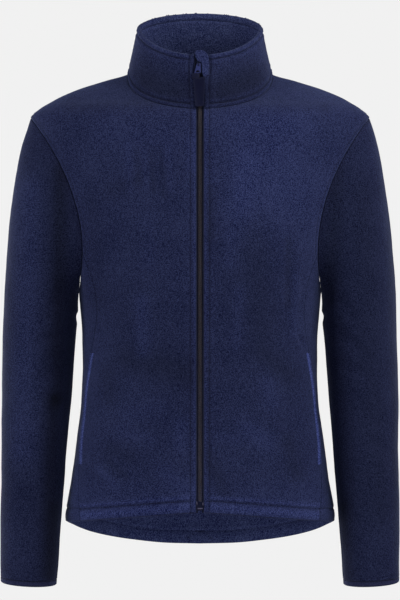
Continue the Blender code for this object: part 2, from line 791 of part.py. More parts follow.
# ---------------------------------------------------------------------------------------------
# Pieces that lie on or behind the panels, from the panels' own points
# ---------------------------------------------------------------------------------------------
def column_line(piece, patch, column):
    """Points and wall directions up one column of a piece's patch."""
    at = [piece.index[place_key(row[column])] for row in patch]
    return piece.outer[at], piece.mitres[at]


def squared(points, outs):
    """The same line with its directions square to the zip."""
    flat = outs * np.array([0.0, 1.0, 1.0])
    return points, flat / np.linalg.norm(flat, axis=1, keepdims=True)


def row_at(heights, height):
    """The row under a height in a rising list, and how far the height is to the next."""
    row = int(np.clip(np.searchsorted(heights, height) - 1, 0, len(heights) - 2))
    return row, (height - heights[row]) / (heights[row + 1] - heights[row])


def welt_sections(front, patch, side):
    """The welt's sections from bottom to top, over the front's last column."""
    columns = (-1, -2) if side > 0 else (0, 1)
    lines = [column_line(front, patch, column) for column in columns]
    heights = lines[0][0][:, 2]
    between = [z for z in heights if WELT_BOTTOM + LEAST_STEP < z < WELT_TOP - LEAST_STEP]
    sections = []
    for height in [WELT_BOTTOM, *between, WELT_TOP]:
        row, share = row_at(heights, height)
        low = []
        top = []
        for points, outs in lines:
            point = blend(points[row], points[row + 1], share)
            out = blend(outs[row], outs[row + 1], share)
            low.append(point + out * CONTACT_GAP)
            top.append(point + out * (CONTACT_GAP + WELT_THICKNESS))
        sections.append((low[0], low[1], top[1], top[0]))
    return sections


def tape_sections(edge_line, near_line, collar_line, side):
    """Sections of one tape: wide behind the front, and only the strip between the edges above."""
    slip = np.array([side * (TAPE_INNER - FRONT_OPENING / 2), 0.0, 0.0])
    strip = np.array([side * (TAPE_COLLAR_OUTER - FRONT_OPENING / 2), 0.0, 0.0])
    front = CLOTH + CONTACT_GAP
    back = front + TAPE_THICKNESS

    def section(inner, inner_out, outer, outer_out):
        return (
            inner - inner_out * front,
            outer - outer_out * front,
            outer - outer_out * back,
            inner - inner_out * back,
        )

    rows = list(range(len(edge_line[0]) - 1))
    sections = []
    for row in [*rows, rows[-1] + TAPE_SHOULDER]:
        low = int(row)
        edge, edge_out = (blend(part[low], part[low + 1], row - low) for part in edge_line)
        near, near_out = (blend(part[low], part[low + 1], row - low) for part in near_line)
        outer = blend(edge, near, TAPE_REACH)
        sections.append(section(edge + slip, edge_out, outer, blend(edge_out, near_out, TAPE_REACH)))
    narrow = blend(edge, edge_line[0][-1], TAPE_NARROWS)
    sections.append(section(narrow + slip, edge_out, narrow + strip, edge_out))
    for point, out in zip(*collar_line):
        sections.append(section(point + slip, out, point + strip, out))
    return sections


def chain_sections(centre, out):
    sections = []
    half = np.array([CHAIN_WIDTH / 2, 0.0, 0.0])
    for point, direction in zip(centre, out):
        front = point - direction * CHAIN_FRONT
        back = point - direction * CHAIN_BACK
        sections.append((front - half, front + half, back + half, back - half))
    return sections


# ---------------------------------------------------------------------------------------------
# Hard pieces
# ---------------------------------------------------------------------------------------------
def frame_matrix(origin, up):
    """A frame with X across, Y up the zip and Z out of the cloth."""
    up = Vector(up).normalized()
    across = Vector((1.0, 0.0, 0.0))
    turned = Matrix((across, up, across.cross(up))).transposed().to_4x4()
    return Matrix.Translation(Vector(origin)) @ turned


def rounded(outline):
    """The outline's points, each corner eased on a curve that starts this far from it."""
    points = []
    for k, (x, y, ease) in enumerate(outline):
        corner = Vector((x, y))
        before = Vector(outline[k - 1][:2])
        after = Vector(outline[(k + 1) % len(outline)][:2])
        start = corner + (before - corner).normalized() * ease
        end = corner + (after - corner).normalized() * ease
        steps = CORNER_STEPS if ease else 0
        for step in range(steps + 1):
            share = step / max(steps, 1)
            points.append(start.lerp(corner, share).lerp(corner.lerp(end, share), share))
    return points


def flat_piece(name, outlines, back, front, collection, finish=None):
    """A plate between two depths, from its outline and those of its openings."""
    flat = bpy.data.curves.new(name, "CURVE")
    flat.dimensions = "2D"
    flat.fill_mode = "BOTH"
    flat.extrude = (front - back) / 2
    for outline in outlines:
        line = flat.splines.new("POLY")
        line.points.add(len(outline) - 1)
        for point, (x, y) in zip(line.points, outline):
            point.co = (x, y, 0.0, 1.0)
        line.use_cyclic_u = True
    guide = bpy.data.objects.new(f"{name}_outline", flat)
    mesh = bpy.data.meshes.new_from_object(guide)
    bpy.data.objects.remove(guide, do_unlink=True)
    solid = bmesh.new()
    solid.from_mesh(mesh)
    bmesh.ops.remove_doubles(solid, verts=solid.verts, dist=1e-6)
    bmesh.ops.translate(solid, verts=solid.verts, vec=(0.0, 0.0, (front + back) / 2))
    bmesh.ops.recalc_face_normals(solid, faces=solid.faces)
    solid.to_mesh(mesh)
    solid.free()
    mesh.name = name
    return add_object(name, mesh, collection, finish)


def block(name, low, high, collection):
    """A plain box between two corners."""
    solid = bmesh.new()
    bmesh.ops.create_cube(solid, size=1.0)
    low = Vector(low)
    high = Vector(high)
    for vertex in solid.verts:
        share = vertex.co + Vector((0.5, 0.5, 0.5))
        vertex.co = Vector([blend(low[k], high[k], share[k]) for k in range(3)])
    mesh = bpy.data.meshes.new(name)
    solid.to_mesh(mesh)
    solid.free()
    return add_object(name, mesh, collection)


def combine(target, other, operation):
    step = target.modifiers.new(f"{operation.lower()}_{other.name}", "BOOLEAN")
    step.operation = operation
    step.object = other
    step.solver = "EXACT"
    other.hide_render = True
    other.display_type = "WIRE"


def tapered_outline(half_width, top_half_width, bottom, top, ease):
    return rounded((
        (-half_width, bottom, ease),
        (half_width, bottom, ease),
        (top_half_width, top, ease),
        (-top_half_width, top, ease),
    ))


def bridge_outline():
    """The bridge from the side: an arch over the hinge axis, with its feet in the slider's face."""
    foot = -BRIDGE_INSIDE - BRIDGE_FOOT
    return rounded((
        (-BRIDGE_REACH, foot, 0.0),
        (-BRIDGE_REACH, BRIDGE_REACH, BRIDGE_ROUND),
        (BRIDGE_REACH, BRIDGE_REACH, BRIDGE_ROUND),
        (BRIDGE_REACH, foot, 0.0),
        (BRIDGE_INSIDE, foot, 0.0),
        (BRIDGE_INSIDE, BRIDGE_INSIDE, 0.0),
        (-BRIDGE_INSIDE, BRIDGE_INSIDE, 0.0),
        (-BRIDGE_INSIDE, foot, 0.0),
    ))


def make_slider(frame, axis, jacket, cutters):
    body = tapered_outline(
        SLIDER_HALF_WIDTH, SLIDER_TOP_HALF_WIDTH, -SLIDER_HALF_LENGTH, SLIDER_HALF_LENGTH, SLIDER_CORNER
    )
    slider = flat_piece("zip_slider", [body], SLIDER_FACE_BACK, SLIDER_FACE, jacket, "zip_metal")
    plate = flat_piece("slider_back_plate", [body], *SLIDER_BACK, cutters)
    post = block(
        "slider_post",
        (-SLIDER_POST_HALF_WIDTH, SLIDER_POST[0], SLIDER_BACK[1] - BRIDGE_FOOT),
        (SLIDER_POST_HALF_WIDTH, SLIDER_POST[1], SLIDER_FACE_BACK + BRIDGE_FOOT), cutters,
    )
    width = BRIDGE_HALF_WIDTH
    bridge = flat_piece("slider_bridge", [bridge_outline()], -width, width, cutters)
    for piece in (slider, plate, post):
        piece.matrix_world = frame
    bridge.matrix_world = axis @ Matrix(((0, 0, 1), (1, 0, 0), (0, 1, 0))).to_4x4()
    for piece in (post, plate, bridge):
        combine(slider, piece, "UNION")
    return slider


def bail_openings():
    """The eye that the slider's bridge passes through, and the arch for the tag's loop."""
    low, high = EYE
    eye = [(-EYE_HALF_WIDTH, low), (EYE_HALF_WIDTH, low), (EYE_HALF_WIDTH, high), (-EYE_HALF_WIDTH, high)]
    turns = [math.pi * step / ARCH_STEPS for step in range(ARCH_STEPS + 1)]
    arch = [
        (ARCH_MIDDLE + ARCH_HALF_WIDTH * math.cos(turn), ARCH_BASE + ARCH_HALF_WIDTH * math.sin(turn))
        for turn in turns
    ]
    return eye, arch


def make_pull(axis, jacket, cutters):
    """The bail, hinged on the slider's bridge, and the moulded tag on the bail's tongue."""
    half = BAIL_THICKNESS / 2
    outlines = [rounded(BAIL_OUTLINE), *bail_openings()]
    bail = flat_piece("zip_pull_bail", outlines, -half, half, jacket, "zip_metal")
    tag_half = TAG_THICKNESS / 2
    head_half = TAG_HEAD_THICKNESS / 2
    tag = flat_piece("zip_pull_tag", [rounded(TAG_OUTLINE)], -tag_half, tag_half, jacket, "zip_rubber")
    head = flat_piece("tag_head", [rounded(TAG_HEAD_OUTLINE)], -head_half, head_half, cutters)
    slot = block(
        "tag_slot",
        (TONGUE_LEFT - CONTACT_GAP, TONGUE_END - CONTACT_GAP, -half - CONTACT_GAP),
        (TONGUE_RIGHT + CONTACT_GAP, 0.0, half + CONTACT_GAP), cutters,
    )
    for piece in (bail, tag, head, slot):
        piece.matrix_world = axis
    combine(tag, head, "UNION")
    combine(tag, slot, "DIFFERENCE")
    return bail, tag


def make_garage(frame, edge_up, jacket, cutters):
    """A fold of fleece over the zip's top: a flap in front, a flap behind and a roll between."""
    outline = [(x, edge_up + above, ease) for x, above, ease in GARAGE_OUTLINE]
    front = CONTACT_GAP + GARAGE_CLOTH
    back = -COLLAR_CLOTH - GARAGE_CURVE - front
    garage = flat_piece("zip_garage", [rounded(outline)], back, front, jacket, "fleece")
    far = 2 * COLLAR_TOP_HALF_WIDTH
    slot = block(
        "garage_slot",
        (-far, edge_up - far, back + GARAGE_CLOTH),
        (far, edge_up + GARAGE_RISE, CONTACT_GAP), cutters,
    )
    inside = block(
        "garage_inside_trim",
        (-far, edge_up - far, -far),
        (far, edge_up - GARAGE_INSIDE_REACH, -CONTACT_GAP), cutters,
    )
    for piece in (garage, slot, inside):
        piece.matrix_world = frame
    combine(garage, slot, "DIFFERENCE")
    combine(garage, inside, "DIFFERENCE")
    return garage


def make_box(frame, jacket):
    outline = tapered_outline(BOX_HALF_WIDTH, BOX_HALF_WIDTH, 0.0, BOX_LENGTH - CONTACT_GAP, BOX_CORNER)
    box = flat_piece("zip_box", [outline], -BOX_BACK, BOX_FRONT, jacket, "zip_rubber")
    box.matrix_world = frame
    return box


# ---------------------------------------------------------------------------------------------
# The jacket
# ---------------------------------------------------------------------------------------------
def make_cloth():
    """All sewn pieces, and the patches that the trims are measured from."""
    front_grid = front_places()
    lower, upper = back_places()
    patches = {side: points_of(front_grid, side) for side in (1, -1)}
    patches[-1] = patches[-1][:, ::-1]
    back = []
    for block_places in (lower, upper):
        left = points_of(block_places, 1)
        right = points_of(block_places, -1)[:, ::-1]
        right[:, 0] = left[:, -1]
        back += [left, right]
    fronts = {}
    pieces = []
    for side, word in ((1, "left"), (-1, "right")):
        fronts[side] = Cloth(f"front_{word}", [patches[side]], CLOTH, "fleece")
        sleeve = Cloth(f"sleeve_{word}", [sleeve_patch(SLEEVE_RINGS, side)], CLOTH, "fleece")
        rings = (SLEEVE_END, BINDING_END)
        cuff = Cloth(f"cuff_binding_{word}", [sleeve_patch(rings, side)], BINDING_CLOTH, "binding")
        pieces += [fronts[side], sleeve, cuff]
    pieces.append(Cloth("back", back, CLOTH, "fleece_inner"))
    collar_grid = collar_patch()
    collar = Cloth("collar", [collar_grid], COLLAR_CLOTH, "fleece")
    collar.thickness[: len(collar_grid[0])] = CLOTH
    pieces.append(collar)
    sew(pieces)
    return pieces, fronts, patches, collar, collar_grid


def make_trims(fronts, patches, collar, collar_grid, jacket):
    """The welts and zip tapes.  Returns the zip's middle line: its points and outward directions."""
    edges = []
    for side, word in ((1, "left"), (-1, "right")):
        front = fronts[side]
        patch = patches[side]
        sections = welt_sections(front, patch, side)
        add_object(f"pocket_welt_{word}", strip_mesh("welt", sections), jacket, "fleece")
        edge_line = squared(*column_line(front, patch, 0 if side > 0 else -1))
        near_line = column_line(front, patch, 1 if side > 0 else -2)
        points, outs = squared(*column_line(collar, collar_grid, 0 if side > 0 else -1))
        collar_line = (points[1:], outs[1:])
        sections = tape_sections(edge_line, near_line, collar_line, side)
        add_object(f"zip_tape_{word}", strip_mesh("tape", sections), jacket, "zip_tape")
        edges.append([np.concatenate(pair) for pair in zip(edge_line, collar_line)])
    middle = (edges[0][0] + edges[1][0]) / 2
    out = (edges[0][1] + edges[1][1]) / 2
    return middle, out


def place_on(middle, out, height):
    """The zip line's point and outward direction at a height."""
    row, share = row_at(middle[:, 2], height)
    return blend(middle[row], middle[row + 1], share), blend(out[row], out[row + 1], share)


def make_chain(middle, out, low, high, jacket):
    between = [z for z in middle[:, 2] if low + LEAST_STEP < z < high - LEAST_STEP]
    sections = chain_sections(*zip(*(place_on(middle, out, z) for z in [low, *between, high])))
    return add_object("zip_chain", strip_mesh("chain", sections), jacket, "zip_chain")


def main():
    clear_scene()
    jacket = new_collection("fleece_zip_jacket")
    cutters = new_collection("cutters")
    pieces, fronts, patches, collar, collar_grid = make_cloth()
    for piece in pieces:
        add_object(piece.name, wall_mesh(piece), jacket, piece.finish)
    middle, out = make_trims(fronts, patches, collar, collar_grid, jacket)

    slider_at, _ = place_on(middle, out, SLIDER_HEIGHT)
    foot, _ = place_on(middle, out, SLIDER_HEIGHT - SLIDER_HALF_LENGTH)
    up = slider_at - foot
    up[0] = 0.0
    up /= np.linalg.norm(up)
    frame = frame_matrix(slider_at, up)
    axis = frame @ Matrix.Translation((0.0, PULL_AXIS_UP, PULL_AXIS_OUT))
    make_slider(frame, axis, jacket, cutters)
    make_pull(axis @ Matrix.Rotation(math.radians(-PULL_LEAN), 4, "X"), jacket, cutters)
    make_garage(frame, float((middle[-1] - slider_at) @ up), jacket, cutters)

    box_top = BOX_BASE_HEIGHT + BOX_LENGTH
    chain_top = slider_at[2] + up[2] * (SLIDER_POST[0] - 2 * CONTACT_GAP)
    make_chain(middle, out, box_top, chain_top, jacket)
    box_foot, _ = place_on(middle, out, BOX_BASE_HEIGHT)
    box_head, _ = place_on(middle, out, box_top)
    make_box(frame_matrix(box_foot, box_head - box_foot), jacket)


main()
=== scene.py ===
"""Fleece zip jacket: the finished look of every piece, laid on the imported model's frame."""

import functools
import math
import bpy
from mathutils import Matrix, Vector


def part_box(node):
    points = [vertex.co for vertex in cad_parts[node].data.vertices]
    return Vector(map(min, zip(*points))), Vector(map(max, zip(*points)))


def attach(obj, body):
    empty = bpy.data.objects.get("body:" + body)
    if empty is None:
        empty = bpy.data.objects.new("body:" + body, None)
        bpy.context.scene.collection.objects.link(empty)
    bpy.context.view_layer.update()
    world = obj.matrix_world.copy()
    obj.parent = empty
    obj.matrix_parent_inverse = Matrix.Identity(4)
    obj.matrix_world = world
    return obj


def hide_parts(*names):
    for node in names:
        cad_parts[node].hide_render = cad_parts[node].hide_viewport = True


bl_info = {
    "name": "Fleece zip jacket",
    "version": (1, 0, 0),
    "blender": (4, 5, 0),
    "location": "3D View > Sidebar > Jacket",
    "description": "Sews a worn-shape fleece jacket with a coil zip and sets it in a pale studio",
    "category": "Add Mesh",
}

import bmesh
import bpy
import numpy as np
from bpy.props import FloatProperty, FloatVectorProperty, PointerProperty
from mathutils import Matrix, Vector, noise
from mathutils.bvhtree import BVHTree
from mathutils.kdtree import KDTree

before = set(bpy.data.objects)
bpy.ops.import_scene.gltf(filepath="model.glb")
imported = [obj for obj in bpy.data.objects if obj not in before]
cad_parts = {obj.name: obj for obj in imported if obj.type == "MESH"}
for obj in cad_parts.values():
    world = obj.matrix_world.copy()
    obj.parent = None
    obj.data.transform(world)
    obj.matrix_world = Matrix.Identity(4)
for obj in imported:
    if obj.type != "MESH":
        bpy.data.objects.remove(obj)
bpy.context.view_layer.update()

# ---------------------------------------------------------------------------------------------
# The jacket's form, metres and degrees.  A place on the body is (turn, height): the turn runs
# from 0 at the front centre to 180 at the back centre, and is negative on the wearer's right.
# ---------------------------------------------------------------------------------------------
FRONT_OPENING = 0.0110
BODY_ROUNDNESS = 2.2

NECK_HALF_WIDTH = 0.1015
NECK_FRONT_HEIGHT = -0.0490
NECK_SIDE_HEIGHT = 0.0040
NECK_BACK_HEIGHT = 0.0220
NECK_FRONT_SCOOP = 0.8

COLLAR_TOP_HALF_WIDTH = 0.087
COLLAR_TOP_FRONT = -0.084
COLLAR_TOP_BACK = 0.060
COLLAR_TOP_FRONT_HEIGHT = 0.0254
COLLAR_TOP_SIDE_HEIGHT = 0.0700
COLLAR_TOP_BACK_HEIGHT = 0.0933
COLLAR_FRONT_SCOOP = 1.25
ZIP_LEAN_SPREAD = 40.0
ZIP_LEAN = (
    # rise, shift
    (0.00, 0.0000),
    (0.25, -0.0003),
    (0.45, -0.0012),
    (0.62, -0.0021),
    (0.80, -0.0022),
    (1.00, -0.0016),
)

ARMHOLE_TOP = (0.237, -0.058)
ARMHOLE_BOTTOM = (0.1695, -0.300)
ARMHOLE_FRONT_SCOOP = 0.031
ARMHOLE_BACK_SCOOP = 0.022
ARMHOLE_SEAM_TURN = 124.0
YOKE_HEIGHT = -0.235

TORSO = (
    # height, half_width, front, back
    (-0.665, 0.1890, 0.130, 0.1270),
    (-0.640, 0.1885, 0.130, 0.1260),
    (-0.613, 0.1880, 0.130, 0.1240),
    (-0.559, 0.1798, 0.127, 0.1180),
    (-0.505, 0.1725, 0.124, 0.1090),
    (-0.452, 0.1656, 0.122, 0.1020),
    (-0.407, 0.1640, 0.121, 0.0990),
    (-0.368, 0.1644, 0.123, 0.1010),
    (-0.320, 0.1681, 0.126, 0.1045),
    (-0.300, 0.1697, 0.1268, 0.1060),
    (-0.272, 0.1745, 0.127, 0.1080),
    (-0.225, 0.1860, 0.126, 0.1100),
    (-0.165, 0.2060, 0.121, 0.1090),
    (-0.120, 0.2200, 0.116, 0.1060),
    (-0.080, 0.2320, 0.109, 0.1010),
    (-0.0580, 0.2370, 0.101, 0.0970),
    (-0.0445, 0.2240, 0.091, 0.0935),
    (-0.0360, 0.2100, 0.078, 0.0905),
    (-0.0284, 0.1960, 0.067, 0.0880),
    (-0.0168, 0.1684, 0.049, 0.0830),
    (-0.0078, 0.1404, 0.033, 0.0775),
    (-0.0037, 0.1264, 0.025, 0.0745),
    (0.0005, 0.1100, 0.018, 0.0720),
    (0.004, 0.1015, 0.015, 0.0705),
    (0.012, 0.0990, 0.014, 0.0660),
    (0.022, 0.0940, 0.012, 0.0620),
)
HEM = (
    # turn, height
    (0.0, -0.6020),
    (38.0, -0.6120),
    (63.0, -0.6175),
    (90.0, -0.6210),
    (104.6, -0.6264),
    (116.9, -0.6342),
    (125.5, -0.6400),
    (139.0, -0.6480),
    (150.1, -0.6534),
    (168.6, -0.6599),
    (180.0, -0.6610),
)
SIDE_SEAM_FOOT = 60.6  # the hem's turn at the side seam
SIDE_SEAM = (
    # height, turn
    (-0.640, 60.0),
    (-0.608, SIDE_SEAM_FOOT),
    (-0.588, 64.0),
    (-0.545, 70.0),
    (-0.500, 73.8),
    (-0.450, 75.0),
    (-0.429, 73.0),
    (-0.393, 67.6),
    (-0.373, 63.8),
    (-0.351, 60.4),
    (-0.324, 57.6),
    (-0.290, 58.8),
)
BODY_FOLDS = (
    # turn, half_spread, top, bottom, depth
    (33.0, 11.0, -0.20, -0.52, 0.0035),
    (52.0, 9.0, -0.34, -0.66, 0.0030),
    (-28.0, 10.0, -0.26, -0.62, 0.0035),
    (-50.0, 9.0, -0.16, -0.44, 0.0030),
    (151.0, 12.0, -0.16, -0.50, 0.0045),
    (-146.0, 13.0, -0.22, -0.60, 0.0045),
    (178.0, 12.0, -0.34, -0.58, 0.0035),
)

SLEEVE = (
    # ring, inner_x, inner_z, outer_x, outer_z, middle_y, half_depth
    (0, 0.1695, -0.3000, 0.2370, -0.0580, -0.006, 0.0600),
    (1, 0.1703, -0.3060, 0.2495, -0.0980, -0.005, 0.0620),
    (2, 0.1708, -0.3120, 0.2578, -0.1450, -0.004, 0.0630),
    (3, 0.1710, -0.3180, 0.2654, -0.1980, -0.003, 0.0630),
    (4, 0.1708, -0.3270, 0.2706, -0.2520, -0.002, 0.0620),
    (5, 0.1717, -0.3420, 0.2740, -0.3120, -0.001, 0.0610),
    (6, 0.1745, -0.3720, 0.2754, -0.3680, 0.000, 0.0585),
    (7, 0.1785, -0.4250, 0.2770, -0.4250, 0.000, 0.0550),
    (8, 0.1833, -0.4800, 0.2776, -0.4800, -0.003, 0.0520),
    (9, 0.1871, -0.5350, 0.2777, -0.5350, -0.009, 0.0485),
    (10, 0.1912, -0.5900, 0.2775, -0.5900, -0.017, 0.0445),
    (11, 0.1951, -0.6450, 0.2772, -0.6450, -0.026, 0.0405),
    (12, 0.1989, -0.6995, 0.2771, -0.6960, -0.035, 0.0365),
    (13, 0.1993, -0.7068, 0.2768, -0.7030, -0.036, 0.0362),
)
SLEEVE_END = 12
BINDING_END = 13
ARMHOLE_FADE_RINGS = 3.0
CUFF_FRONT_DROP = 0.0025
SLEEVE_FOLDS = (
    # turn, half_spread, ring, half_rings, depth
    (110.0, 55.0, 6.6, 0.55, 0.0030),
    (75.0, 50.0, 7.9, 0.60, 0.0025),
    (200.0, 60.0, 4.6, 0.60, 0.0025),
)

COLLAR_END_TURN = 3.11  # round the neck, from the front centre to the collar's end

# How the neck and shoulder seams spread over the columns of the upper front and back
FRONT_NECK_TURNS = (
    (0.0, COLLAR_END_TURN), (0.064, 10.5), (0.17, 30.0), (0.28, 50.0), (0.39, 70.0), (0.50, 90.0),
)
FRONT_SHOULDER = ((0.50, 0.0), (0.61, 0.13), (0.73, 0.34), (0.85, 0.57), (0.957, 0.80), (1.0, 1.0))
BACK_SHOULDER = ((0.0, 1.0), (0.1, 0.80), (0.2, 0.57), (0.3, 0.34), (0.4, 0.13), (0.5, 0.0))
BACK_NECK_TURNS = ((0.5, 90.0), (0.6, 100.0), (0.7, 115.0), (0.8, 135.0), (0.9, 158.0), (1.0, 180.0))

UNDERARM_SHARE = 4 / 14  # of the back's columns that end under the arm
WELT_COLUMN = 0.935  # the welt covers the front from this share of its width to the side seam
WELT_TOP = -0.384
WELT_BOTTOM = -0.541
ZIP_FOOT = -0.6035

# The collar's topstitch swings out round the garage
GARAGE_SWING = 0.0040
GARAGE_MIDDLE_HEIGHT = 0.0060
GARAGE_SWING_REACH = 0.0240

# Sides of the body that a stroke is seen on, by the sign of y
FRONT = -1
BACK = 1

# Creases, listed one by one.  Each is a soft trough between two low ridges; a depth below 0 is a ridge.
CREASES = {
    # (piece, side seen): x, z, to x, to z, half_width, depth
    ("front_left", FRONT): (
        (0.134, -0.357, 0.146, -0.378, 0.0045, 0.0016),
        (0.150, -0.352, 0.158, -0.372, 0.0040, 0.0012),
        (0.122, -0.224, 0.124, -0.322, 0.0075, 0.0014),
        (0.132, -0.275, 0.131, -0.362, 0.0065, -0.0011),
        (0.043, -0.144, 0.061, -0.203, 0.0110, -0.0011),
        (0.060, -0.146, 0.050, -0.206, 0.0090, 0.0007),
        (0.100, -0.560, 0.140, -0.535, 0.0070, 0.0010),
        (0.022, -0.590, 0.033, -0.604, 0.0032, 0.0007),
        (0.036, -0.588, 0.047, -0.603, 0.0034, 0.0008),
    ),
    ("front_right", FRONT): (
        (-0.154, -0.550, -0.100, -0.585, 0.0060, 0.0013),
        (-0.150, -0.570, -0.112, -0.590, 0.0050, 0.0011),
        (-0.074, -0.305, -0.014, -0.305, 0.0050, 0.0006),
        (-0.081, -0.319, -0.081, -0.378, 0.0080, -0.0011),
        (-0.084, -0.060, -0.076, -0.145, 0.0060, 0.0007),
        (-0.064, -0.064, -0.058, -0.140, 0.0055, 0.0006),
        (-0.045, -0.070, -0.040, -0.130, 0.0050, 0.0005),
        (-0.150, -0.330, -0.128, -0.372, 0.0070, 0.0012),
    ),
    ("back", BACK): (
        (0.150, -0.285, 0.090, -0.330, 0.0100, 0.0018),
        (-0.152, -0.290, -0.100, -0.345, 0.0095, 0.0018),
        (0.165, -0.330, 0.110, -0.392, 0.0085, 0.0014),
        (-0.160, -0.345, -0.098, -0.400, 0.0090, 0.0014),
        (-0.060, -0.425, 0.050, -0.440, 0.0110, 0.0014),
        (0.020, -0.460, 0.120, -0.478, 0.0090, 0.0010),
        (0.030, -0.060, 0.024, -0.150, 0.0110, 0.0010),
        (-0.042, -0.056, -0.034, -0.138, 0.0100, 0.0010),
    ),
    ("sleeve_left", FRONT): (
        (0.184, -0.340, 0.226, -0.392, 0.0085, 0.0020),
        (0.186, -0.395, 0.232, -0.415, 0.0080, 0.0016),
        (0.190, -0.300, 0.212, -0.345, 0.0080, 0.0014),
        (0.212, -0.500, 0.262, -0.520, 0.0100, 0.0010),
    ),
    ("sleeve_left", BACK): (
        (0.190, -0.360, 0.250, -0.385, 0.0095, 0.0018),
        (0.196, -0.420, 0.256, -0.440, 0.0095, 0.0014),
        (0.200, -0.255, 0.232, -0.310, 0.0090, 0.0013),
    ),
    ("sleeve_right", FRONT): (
        (-0.186, -0.352, -0.230, -0.376, 0.0085, 0.0020),
        (-0.190, -0.404, -0.238, -0.432, 0.0090, 0.0016),
        (-0.188, -0.290, -0.214, -0.340, 0.0080, 0.0014),
        (-0.216, -0.520, -0.262, -0.512, 0.0100, 0.0009),
    ),
    ("sleeve_right", BACK): (
        (-0.190, -0.350, -0.250, -0.380, 0.0095, 0.0018),
        (-0.198, -0.410, -0.258, -0.436, 0.0095, 0.0014),
        (-0.202, -0.250, -0.236, -0.300, 0.0090, 0.0013),
    ),
}

# Painted light and painted shade, by soft strokes that make the cloth lighter or darker
BODY_PAINTED_LIGHT = (
    # x, z, to x, to z, half_width, lighter or darker; for the fronts and, mirrored, the back
    (0.096, -0.106, 0.103, -0.154, 0.0686, 0.38),
    (0.062, -0.120, 0.055, -0.191, 0.0206, 0.26),
    (0.137, -0.068, 0.044, -0.073, 0.0192, 0.14),
    (-0.126, -0.082, -0.048, -0.092, 0.0274, 0.14),
    (-0.121, -0.161, -0.089, -0.150, 0.0123, -0.17),
    (-0.066, -0.106, -0.063, -0.164, 0.0044, -0.20),
    (-0.075, -0.109, -0.073, -0.158, 0.0038, 0.14),
    (-0.054, -0.106, -0.049, -0.169, 0.0044, -0.17),
    (-0.043, -0.103, -0.040, -0.161, 0.0041, 0.14),
    (-0.099, -0.101, -0.095, -0.161, 0.0055, 0.19),
    (-0.086, -0.106, -0.084, -0.147, 0.0041, -0.14),
    (-0.012, -0.092, -0.011, -0.131, 0.0069, 0.29),
    (0.016, -0.161, 0.015, -0.224, 0.0082, -0.23),
    (0.044, -0.224, 0.041, -0.260, 0.0123, 0.22),
    (0.055, -0.298, 0.049, -0.374, 0.0082, 0.17),
    (-0.080, -0.315, -0.078, -0.383, 0.0110, 0.32),
    (-0.099, -0.392, -0.016, -0.411, 0.0206, -0.22),
    (-0.129, -0.411, -0.125, -0.446, 0.0137, -0.19),
    (-0.121, -0.518, -0.096, -0.526, 0.0123, -0.19),
    (-0.096, -0.470, -0.055, -0.460, 0.0151, 0.14),
    (-0.110, -0.493, -0.066, -0.504, 0.0082, 0.14),
    (-0.026, -0.483, -0.027, -0.511, 0.0110, 0.26),
    (-0.048, -0.548, -0.014, -0.573, 0.0123, 0.23),
    (-0.140, -0.545, -0.113, -0.570, 0.0048, 0.23),
    (-0.126, -0.534, -0.102, -0.553, 0.0055, -0.17),
    (0.093, -0.429, 0.099, -0.452, 0.0137, 0.26),
    (0.064, -0.488, 0.093, -0.507, 0.0137, 0.26),
    (0.030, -0.499, 0.049, -0.504, 0.0082, 0.17),
    (0.121, -0.504, 0.132, -0.551, 0.0123, -0.22),
    (0.010, -0.525, 0.034, -0.575, 0.0110, -0.25),
    (0.085, -0.383, 0.123, -0.415, 0.0137, -0.17),
    (0.121, -0.230, 0.122, -0.320, 0.0055, -0.22),
    (0.129, -0.278, 0.130, -0.360, 0.0055, 0.14),
    (-0.070, -0.209, -0.069, -0.260, 0.0110, 0.12),
    (-0.148, -0.175, -0.143, -0.312, 0.0137, -0.12),
    (0.078, -0.205, 0.085, -0.353, 0.0192, -0.12),
    (-0.110, -0.330, -0.020, -0.420, 0.0600, -0.11),
    (0.060, -0.260, 0.120, -0.430, 0.0500, -0.12),
    (-0.178, -0.045, -0.070, -0.040, 0.0100, -0.18),
    (0.075, -0.040, 0.172, -0.045, 0.0100, -0.18),
)
PAINTED_LIGHT = {
    # piece: x, z, to x, to z, half_width, lighter or darker
    "collar": (
        (-0.074, -0.010, -0.034, -0.026, 0.0300, -0.46),
        (0.034, -0.024, 0.074, -0.006, 0.0300, -0.50),
    ),
    "back": (
        (-0.174, -0.560, -0.172, -0.605, 0.0150, 0.26),
        (0.174, -0.590, 0.172, -0.605, 0.0120, 0.14),
    ),
    "sleeve_right": (
        (-0.238, -0.160, -0.248, -0.519, 0.0210, 0.44),
        (-0.268, -0.160, -0.277, -0.690, 0.0070, -0.30),
        (-0.198, -0.600, -0.200, -0.700, 0.0100, -0.30),
        (-0.193, -0.133, -0.197, -0.450, 0.0124, -0.42),
        (-0.204, -0.450, -0.210, -0.692, 0.0110, -0.42),
        (-0.257, -0.547, -0.262, -0.671, 0.0138, 0.05),
        (-0.210, -0.367, -0.207, -0.384, 0.0083, -0.10),
    ),
    "sleeve_left": (
        (0.188, -0.133, 0.181, -0.312, 0.0110, -0.24),
        (0.193, -0.340, 0.204, -0.600, 0.0097, -0.12),
        (0.195, -0.600, 0.200, -0.700, 0.0120, -0.45),
        (0.226, -0.170, 0.252, -0.600, 0.0300, -0.17),
        (0.268, -0.160, 0.277, -0.690, 0.0070, -0.30),
        (0.259, -0.422, 0.265, -0.671, 0.0083, 0.06),
    ),
}

